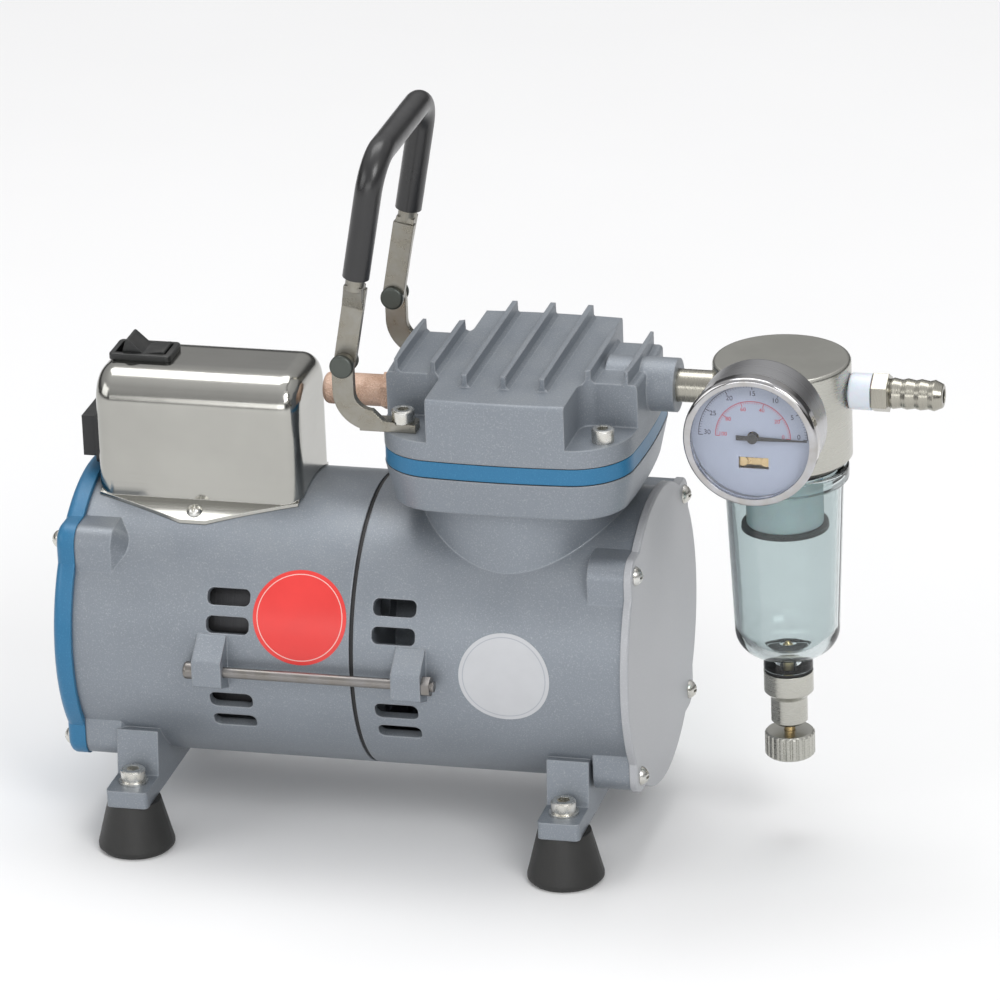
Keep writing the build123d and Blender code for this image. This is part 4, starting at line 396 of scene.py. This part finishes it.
def clear_plastic(name, tint, roughness, shadow_tint, ripple):
    """Clear plastic; shadow_tint is what it lets through to the pieces behind it, ripple its waviness."""
    material, tree, shader = blank_material(name, Transmission_Weight=1.0, IOR=1.45)
    pattern = use(tree, mottle, Cloud_Scale=35.0, Grain_Scale=1200.0)
    shade = [c * 0.96 for c in tint]
    tree.links.new(blend_colours(tree, pattern.outputs["Cloud"], shade, tint), shader.inputs["Base Color"])
    rough = span(tree, pattern.outputs["Cloud"], 0.0, 1.0, roughness, roughness + 0.03)
    tree.links.new(rough, shader.inputs["Roughness"])
    bump(tree, shader, pattern.outputs["Cloud"], ripple, 0.4)
    clear = add(tree, "ShaderNodeBsdfTransparent", Color=(*shadow_tint, 1.0))
    through = tree.nodes.new("ShaderNodeMixShader")
    tree.links.new(tree.nodes.new("ShaderNodeLightPath").outputs["Is Shadow Ray"], through.inputs["Fac"])
    tree.links.new(shader.outputs["BSDF"], through.inputs[1])
    tree.links.new(clear.outputs["BSDF"], through.inputs[2])
    tree.links.new(through.outputs["Shader"], tree.nodes["Material Output"].inputs["Surface"])
    return material


dress(clear_plastic("bowl_plastic", (0.70, 0.765, 0.77), 0.03, (0.76, 0.82, 0.82), 0.00006), "trap_bowl")
dress(clear_plastic("window_glass", (0.98, 0.98, 0.99), 0.0, (0.97, 0.97, 0.98), 0.00001), "gauge_lens")

# ------------------------------------------------------------------ brass and bronze
# Filter bolt, drain stem, gauge works and the gauge's nipple are plain brass.
# The silencer is a plug of sintered bronze beads, screwed into the head.
brass = plated_metal("brass", (0.66, 0.50, 0.27), 0.30)
dress(brass, "filter_bolt", "drain_stem", "gauge_movement", "gauge_nipple")


def sintered_bronze():
    """Tiny bronze beads fused together, so the surface sparkles and is rough."""
    material, tree, shader = blank_material("sintered_bronze", Metallic=0.9)
    where = tree.nodes.new("ShaderNodeTexCoord").outputs["Object"]
    beads = add(tree, "ShaderNodeTexVoronoi", Scale=1500.0)
    tree.links.new(where, beads.inputs["Vector"])
    pattern = use(tree, mottle, Cloud_Scale=120.0, Grain_Scale=1800.0)
    base = blend_colours(tree, pattern.outputs["Cloud"], (0.50, 0.34, 0.25), (0.70, 0.52, 0.42))
    tree.links.new(base, shader.inputs["Base Color"])
    tree.links.new(span(tree, beads.outputs["Distance"], 0.0, 0.6, 0.35, 0.75), shader.inputs["Roughness"])
    bump(tree, shader, span(tree, beads.outputs["Distance"], 0.0, 0.7, 1.0, 0.0), 0.0003, 0.7)
    return material


dress(sintered_bronze(), "exhaust_silencer")

# ------------------------------------------------------------------ gauge dial and needle
# The dial is a plate enamelled in pale blue-grey, fixed in the case behind the window; its print is separate.
# The needle is pressed steel painted black, and turns on the gauge works' spindle.
enamel = (0.31, 0.35, 0.44)
enamel_bright = (0.40, 0.44, 0.53)
dial_enamel = painted_casting("dial_enamel", enamel, enamel_bright, 0.0, 0.5, 0.00001, 0.0001)
dress(dial_enamel, "gauge_dial")
dress(black_moulding("needle_black", (0.02, 0.02, 0.02), 0.4, 0.00001), "gauge_needle")

# ------------------------------------------------------------------ gauge scales
# Two scales printed on the dial in raised ink, black outside and red inside.
# Each is a half ring, its fine and coarse ticks, and plain numbers.


def new_piece(name, mesh, material, body):
    """Links a finished mesh as a piece that rides on a CAD body."""
    mesh.materials.clear()
    mesh.materials.append(material)
    piece = bpy.data.objects.new(name, mesh)
    bpy.context.scene.collection.objects.link(piece)
    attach(piece, body)
    return piece


def baked(holder, tree, values):
    """Runs a node tree on an empty mesh object and returns the mesh it makes."""
    maker = holder.modifiers.new("maker", "NODES")
    maker.node_group = tree
    for item in tree.interface.items_tree:
        if item.item_type == "SOCKET" and item.in_out == "INPUT" and item.name in values:
            maker[item.identifier] = values[item.name]
    bpy.context.view_layer.update()
    made = bpy.data.meshes.new_from_object(holder.evaluated_get(bpy.context.evaluated_depsgraph_get()))
    holder.modifiers.remove(maker)
    return made


def build_scale_ticks():
    """Short bars set round half a circle, standing on the plane that faces -Y."""
    tree = bpy.data.node_groups.new("scale_ticks", "GeometryNodeTree")
    sockets = (("Count", "NodeSocketInt"), ("Radius", "NodeSocketFloat"), ("Size", "NodeSocketVector"),
               ("Centre", "NodeSocketVector"), ("Ink", "NodeSocketMaterial"))
    for label, kind in sockets:
        tree.interface.new_socket(label, in_out="INPUT", socket_type=kind)
    tree.interface.new_socket("Mesh", in_out="OUTPUT", socket_type="NodeSocketGeometry")
    start, end = tree.nodes.new("NodeGroupInput"), tree.nodes.new("NodeGroupOutput")
    points = tree.nodes.new("GeometryNodePoints")
    tree.links.new(start.outputs["Count"], points.inputs["Count"])
    last = math_node(tree, "SUBTRACT", start.outputs["Count"], 1.0)
    share = math_node(tree, "DIVIDE", tree.nodes.new("GeometryNodeInputIndex").outputs[0], last)
    turn = math_node(tree, "MULTIPLY", share, pi)
    place = tree.nodes.new("ShaderNodeCombineXYZ")
    for socket, name in (("X", "COSINE"), ("Z", "SINE")):
        part = math_node(tree, "MULTIPLY", math_node(tree, name, turn), start.outputs["Radius"])
        tree.links.new(part, place.inputs[socket])
    tree.links.new(place.outputs[0], points.inputs["Position"])
    angle = tree.nodes.new("ShaderNodeCombineXYZ")
    tree.links.new(math_node(tree, "MULTIPLY", turn, -1.0), angle.inputs["Y"])
    bar = tree.nodes.new("GeometryNodeMeshCube")
    tree.links.new(start.outputs["Size"], bar.inputs["Size"])
    copies = tree.nodes.new("GeometryNodeInstanceOnPoints")
    tree.links.new(points.outputs[0], copies.inputs["Points"])
    tree.links.new(bar.outputs["Mesh"], copies.inputs["Instance"])
    tree.links.new(angle.outputs[0], copies.inputs["Rotation"])
    real = tree.nodes.new("GeometryNodeRealizeInstances")
    tree.links.new(copies.outputs[0], real.inputs[0])
    moved = tree.nodes.new("GeometryNodeTransform")
    tree.links.new(real.outputs[0], moved.inputs["Geometry"])
    tree.links.new(start.outputs["Centre"], moved.inputs["Translation"])
    inked = tree.nodes.new("GeometryNodeSetMaterial")
    tree.links.new(moved.outputs[0], inked.inputs["Geometry"])
    tree.links.new(start.outputs["Ink"], inked.inputs["Material"])
    tree.links.new(inked.outputs[0], end.inputs[0])
    return tree


def half_ring(name, centre, radius, width, depth):
    """A thin raised arc over the top half of the dial."""
    made = bmesh.new()
    steps = 96
    rows = []
    for i in range(steps + 1):
        turn = pi * i / steps
        corners = [(radius + width / 2, -depth), (radius - width / 2, -depth), (radius - width / 2, 0.0),
                   (radius + width / 2, 0.0)]
        rows.append([made.verts.new((centre[0] + r * cos(turn), centre[1] + y, centre[2] + r * sin(turn)))
                     for r, y in corners])
    for low, high in zip(rows, rows[1:]):
        for i in range(4):
            made.faces.new((low[i], low[(i + 1) % 4], high[(i + 1) % 4], high[i]))
    made.faces.new(rows[0][::-1])
    made.faces.new(rows[-1])
    bmesh.ops.recalc_face_normals(made, faces=made.faces)
    mesh = bpy.data.meshes.new(name)
    made.to_mesh(mesh)
    made.free()
    return mesh


def numeral(text, centre, size, depth):
    """A raised number that faces -Y, centred on a point."""
    curve = bpy.data.curves.new("numeral", "FONT")
    curve.body = text
    curve.size = size
    curve.extrude = depth / 2
    curve.align_x = "CENTER"
    curve.align_y = "CENTER"
    writer = bpy.data.objects.new("numeral", curve)
    mesh = bpy.data.meshes.new_from_object(writer)
    bpy.data.objects.remove(writer)
    mesh.transform(Matrix.Translation(centre) @ Matrix.Rotation(pi / 2, 4, "X"))
    return mesh


def joined(name, meshes):
    """One mesh from several, which are removed."""
    made = bmesh.new()
    for mesh in meshes:
        made.from_mesh(mesh)
        bpy.data.meshes.remove(mesh)
    whole = bpy.data.meshes.new(name)
    made.to_mesh(whole)
    made.free()
    return whole


dial_low, dial_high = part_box("gauge_dial")
ink_depth = 0.00008
dial_centre = Vector(((dial_low[0] + dial_high[0]) / 2, dial_low[1], (dial_low[2] + dial_high[2]) / 2))
ink_centre = dial_centre - Vector((0.0, ink_depth / 2, 0.0))
black_ink = black_moulding("dial_ink_black", (0.03, 0.03, 0.05), 0.5, 0.000002)
red_ink = painted_casting("dial_ink_red", (0.45, 0.03, 0.05), (0.5, 0.08, 0.1), 0.0, 0.5, 0.000002, 0.00002)
scale_ticks = build_scale_ticks()
tick_maker = bpy.data.objects.new("tick_maker", bpy.data.meshes.new("tick_maker"))
bpy.context.scene.collection.objects.link(tick_maker)
ring_width = 0.00022
fine_tick, fine_width = 0.0009, 0.00014
coarse_tick, coarse_width = 0.0016, 0.00028
end_rise = 0.06       # the first and last numbers stand this share of their radius above the centre
# name, ink, radius of the ring, number of fine and of coarse ticks, last number and step, their radius, size
scales = (
    ("black", black_ink, 0.0200, 61, 7, 30, 5, 0.0168, 0.0026),
    ("red", red_ink, 0.0138, 51, 6, 100, 20, 0.0111, 0.0021),
)
for name, ink, radius, fine, coarse, last, step, number_radius, number_size in scales:
    parts = [half_ring(name, dial_centre, radius, ring_width, ink_depth)]
    for count, length, width in ((fine, fine_tick, fine_width), (coarse, coarse_tick, coarse_width)):
        values = {
            "Count": count,
            "Radius": radius - length / 2,
            "Size": (length, ink_depth, width),
            "Centre": ink_centre,
            "Ink": ink,
        }
        parts.append(baked(tick_maker, scale_ticks, values))
    for number in range(0, last + step, step):
        turn = pi * number / last
        rise = sin(turn) if 0 < number < last else end_rise
        spot = ink_centre + number_radius * Vector((cos(turn), 0.0, rise))
        parts.append(numeral(str(number), spot, number_size, ink_depth))
    new_piece("dial_scale_" + name, joined("dial_scale_" + name, parts), ink, "pump")
bpy.data.objects.remove(tick_maker)

# ------------------------------------------------------------------ round labels
# Two vinyl stickers on the barrel, one plain red and one plain light grey, each with a fine rim line.
# They are stuck on flat and follow the barrel's curve.


def curved_disc(name, middle_x, lift, inner, outer, stand_off, barrel):
    """A thin disc or ring laid on the barrel; lift is its angle above the front of the barrel."""
    axis_y, axis_z, radius = barrel
    made = bmesh.new()
    around, steps = 96, 10
    rings = [inner + (outer - inner) * i / steps for i in range(steps + 1)]
    layers = []
    for height in (stand_off, 0.0):
        layer = []
        for r in rings:
            row = []
            for i in range(around):
                u, v = r * cos(2 * pi * i / around), r * sin(2 * pi * i / around)
                turn = lift + v / radius
                out = radius + height
                row.append(made.verts.new((middle_x + u, axis_y - out * cos(turn), axis_z + out * sin(turn))))
            layer.append(row)
        layers.append(layer)
    top, low = layers
    for i in range(around):
        j = (i + 1) % around
        for layer in layers:
            for a, b in zip(layer, layer[1:]):
                made.faces.new((a[i], b[i], b[j], a[j]))
        made.faces.new((top[-1][i], low[-1][i], low[-1][j], top[-1][j]))
        made.faces.new((top[0][j], low[0][j], low[0][i], top[0][i]))
    bmesh.ops.remove_doubles(made, verts=made.verts, dist=1e-7)
    bmesh.ops.recalc_face_normals(made, faces=made.faces)
    mesh = bpy.data.meshes.new(name)
    made.to_mesh(mesh)
    made.free()
    return mesh


def vinyl(name, tone, roughness):
    """Printed film under a thin clear coat."""
    material, tree, shader = blank_material(name, Coat_Weight=0.3, Coat_Roughness=0.25)
    pattern = use(tree, mottle, Cloud_Scale=60.0, Grain_Scale=3000.0)
    shade = [c * 0.94 for c in tone]
    tree.links.new(blend_colours(tree, pattern.outputs["Cloud"], shade, tone), shader.inputs["Base Color"])
    rough = span(tree, pattern.outputs["Cloud"], 0.0, 1.0, roughness, roughness + 0.1)
    tree.links.new(rough, shader.inputs["Roughness"])
    bump(tree, shader, pattern.outputs["Grain"], 0.00001, 0.3)
    return material


gasket_low, gasket_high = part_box("seam_gasket")
gasket_r = (gasket_high[1] - gasket_low[1]) / 2
seam_x = (gasket_low[0] + gasket_high[0]) / 2
gasket_recess = 0.0006     # the gasket lies this far inside the barrel's skin
barrel_line = (0.0, (gasket_low[2] + gasket_high[2]) / 2, gasket_r + gasket_recess)
sticker = 0.00012
line_thick = 0.00003
line_inner, line_outer = 0.90, 0.92    # shares of the label's radius
film_roughness = 0.35
# name, distance along the barrel, angle above the front, radius, colour, colour of the line
label_marks = (
    ("red_label", seam_x - 0.0199, 20.7, 0.0179, (0.74, 0.035, 0.03), (0.80, 0.45, 0.42)),
    ("grey_label", seam_x + 0.0581, 2.2, 0.0172, (0.50, 0.51, 0.53), (0.36, 0.38, 0.42)),
)
for name, middle_x, lift, radius, tone, line_tone in label_marks:
    disc = curved_disc(name, middle_x, radians(lift), 0.0, radius, sticker, barrel_line)
    new_piece(name, disc, vinyl(name, tone, film_roughness), "pump")
    rim = (barrel_line[0], barrel_line[1], barrel_line[2] + sticker)
    line_name = name + "_rim"
    inner, outer = radius * line_inner, radius * line_outer
    line = curved_disc(line_name, middle_x, radians(lift), inner, outer, line_thick, rim)
    new_piece(line_name, line, vinyl(line_name, line_tone, film_roughness), "pump")

# ------------------------------------------------------------------ inside the barrel
# Seen only through the vents: stacked laminations, enamelled copper, ground steel and raw castings.
# The piston's cup seal is filled PTFE, which is brown and dull.
dress(turned_metal("laminations", (0.10, 0.10, 0.105), 0.5, (1, 0, 0), 0.0001), "stator_core", "rotor")
dress(plated_metal("copper_winding", (0.46, 0.18, 0.08), 0.4, 0.0002), "stator_windings")
ground_steel = plated_metal("ground_steel", (0.55, 0.55, 0.56), 0.25)
dress(ground_steel, "motor_shaft", "bearing_outer_races", "bearing_inner_races")
dress(ground_steel, "crank_bearing", "valve_reeds")
raw_casting = plated_metal("raw_casting", (0.42, 0.42, 0.42), 0.55, 0.0001)
dress(raw_casting, "counterweight", "connecting_rod", "piston_clamp", "cylinder_sleeve")
dress(black_moulding("filled_ptfe", (0.20, 0.16, 0.12), 0.5, 0.00002), "cup_seal")

# ------------------------------------------------------------------ floor, lights and camera
# A plain pale floor in soft studio light, under a room that is dark near the horizon and bright above.
# The camera sees plain white behind the pump, and only the reflections and the light see the room.
floor_mesh = bpy.data.meshes.new("studio_floor")
floor_size = 6.0
signs = ((-1, -1), (1, -1), (1, 1), (-1, 1))
corners = [(x * floor_size, y * floor_size, 0) for x, y in signs]
floor_mesh.from_pydata(corners, [], [(0, 1, 2, 3)])
floor = bpy.data.objects.new("studio_floor", floor_mesh)
bpy.context.scene.collection.objects.link(floor)
floor_look = {"Roughness": 0.9, "Specular_IOR_Level": 0.1}
floor_material, floor_tree, floor_shader = blank_material("studio_floor", **floor_look)
floor_pattern = use(floor_tree, mottle, Cloud_Scale=2.0, Grain_Scale=300.0)
floor_tone = blend_colours(floor_tree, floor_pattern.outputs["Cloud"], (0.84, 0.84, 0.84), (0.86, 0.86, 0.86))
floor_tree.links.new(floor_tone, floor_shader.inputs["Base Color"])
floor_mesh.materials.append(floor_material)

scene = bpy.context.scene
scene.view_settings.view_transform = "Standard"
world = bpy.data.worlds.new("studio")
scene.world = world
world.use_nodes = True
sky = world.node_tree
height = sky.nodes.new("ShaderNodeSeparateXYZ")
sky.links.new(sky.nodes.new("ShaderNodeTexCoord").outputs["Generated"], height.inputs[0])
room = sky.nodes.new("ShaderNodeValToRGB")
sky.links.new(span(sky, height.outputs["Z"], -1.0, 1.0), room.inputs["Fac"])
# height of the direction from 0 straight down to 1 straight up, and how bright the room is there
for place, tone in ((0.50, 0.08), (0.61, 0.10), (0.68, 0.50), (0.85, 0.62)):
    stop = room.color_ramp.elements.new(place)
    stop.color = (tone, tone, tone * 1.01, 1.0)
for spare in (room.color_ramp.elements[0], room.color_ramp.elements[-1]):
    spare.color = (0.10, 0.10, 0.10, 1.0) if spare.position < 0.5 else (0.95, 0.95, 0.96, 1.0)
camera_ray = sky.nodes.new("ShaderNodeLightPath").outputs["Is Camera Ray"]
seen = blend_colours(sky, camera_ray, room.outputs["Color"], (1.0, 1.0, 1.0))
sky.links.new(seen, sky.nodes["Background"].inputs["Color"])
sky.nodes["Background"].inputs["Strength"].default_value = 1.0


def softbox(name, place, aim, size, watts):
    """A square studio lamp that looks at a point."""
    lamp = bpy.data.lights.new(name, "AREA")
    lamp.shape = "RECTANGLE"
    lamp.size, lamp.size_y = size
    lamp.energy = watts
    holder = bpy.data.objects.new(name, lamp)
    scene.collection.objects.link(holder)
    holder.location = place
    holder.rotation_euler = (Vector(aim) - Vector(place)).to_track_quat("-Z", "Y").to_euler()


middle = (0.0, 0.0, 0.12)
softbox("key_light", (1.3, -1.5, 1.6), middle, (1.0, 1.0), 21.0)
softbox("fill_light", (-1.6, -1.2, 0.9), middle, (1.4, 1.0), 8.0)
softbox("front_light", (0.1, -1.9, 0.45), middle, (1.6, 0.5), 7.0)
softbox("top_light", (-0.2, 0.5, 2.0), middle, (1.6, 1.0), 16.0)

azimuth, elevation, roll = radians(15.03), radians(22.28), radians(-2.225)
aim = Vector((-0.00304, 0.0, 0.12664))
distance, focal_length = 2.602, 252.0
back = Vector((sin(azimuth) * cos(elevation), -cos(azimuth) * cos(elevation), sin(elevation)))
level = Vector((cos(azimuth), sin(azimuth), 0.0))
right = cos(roll) * level + sin(roll) * back.cross(level)
up = back.cross(right)
camera_data = bpy.data.cameras.new("camera")
camera_data.lens = focal_length
camera_data.sensor_width = 36.0
camera = bpy.data.objects.new("camera", camera_data)
scene.collection.objects.link(camera)
turned = Matrix((right, up, back)).transposed().to_4x4()
camera.matrix_world = Matrix.Translation(aim + distance * back) @ turned
scene.camera = camera
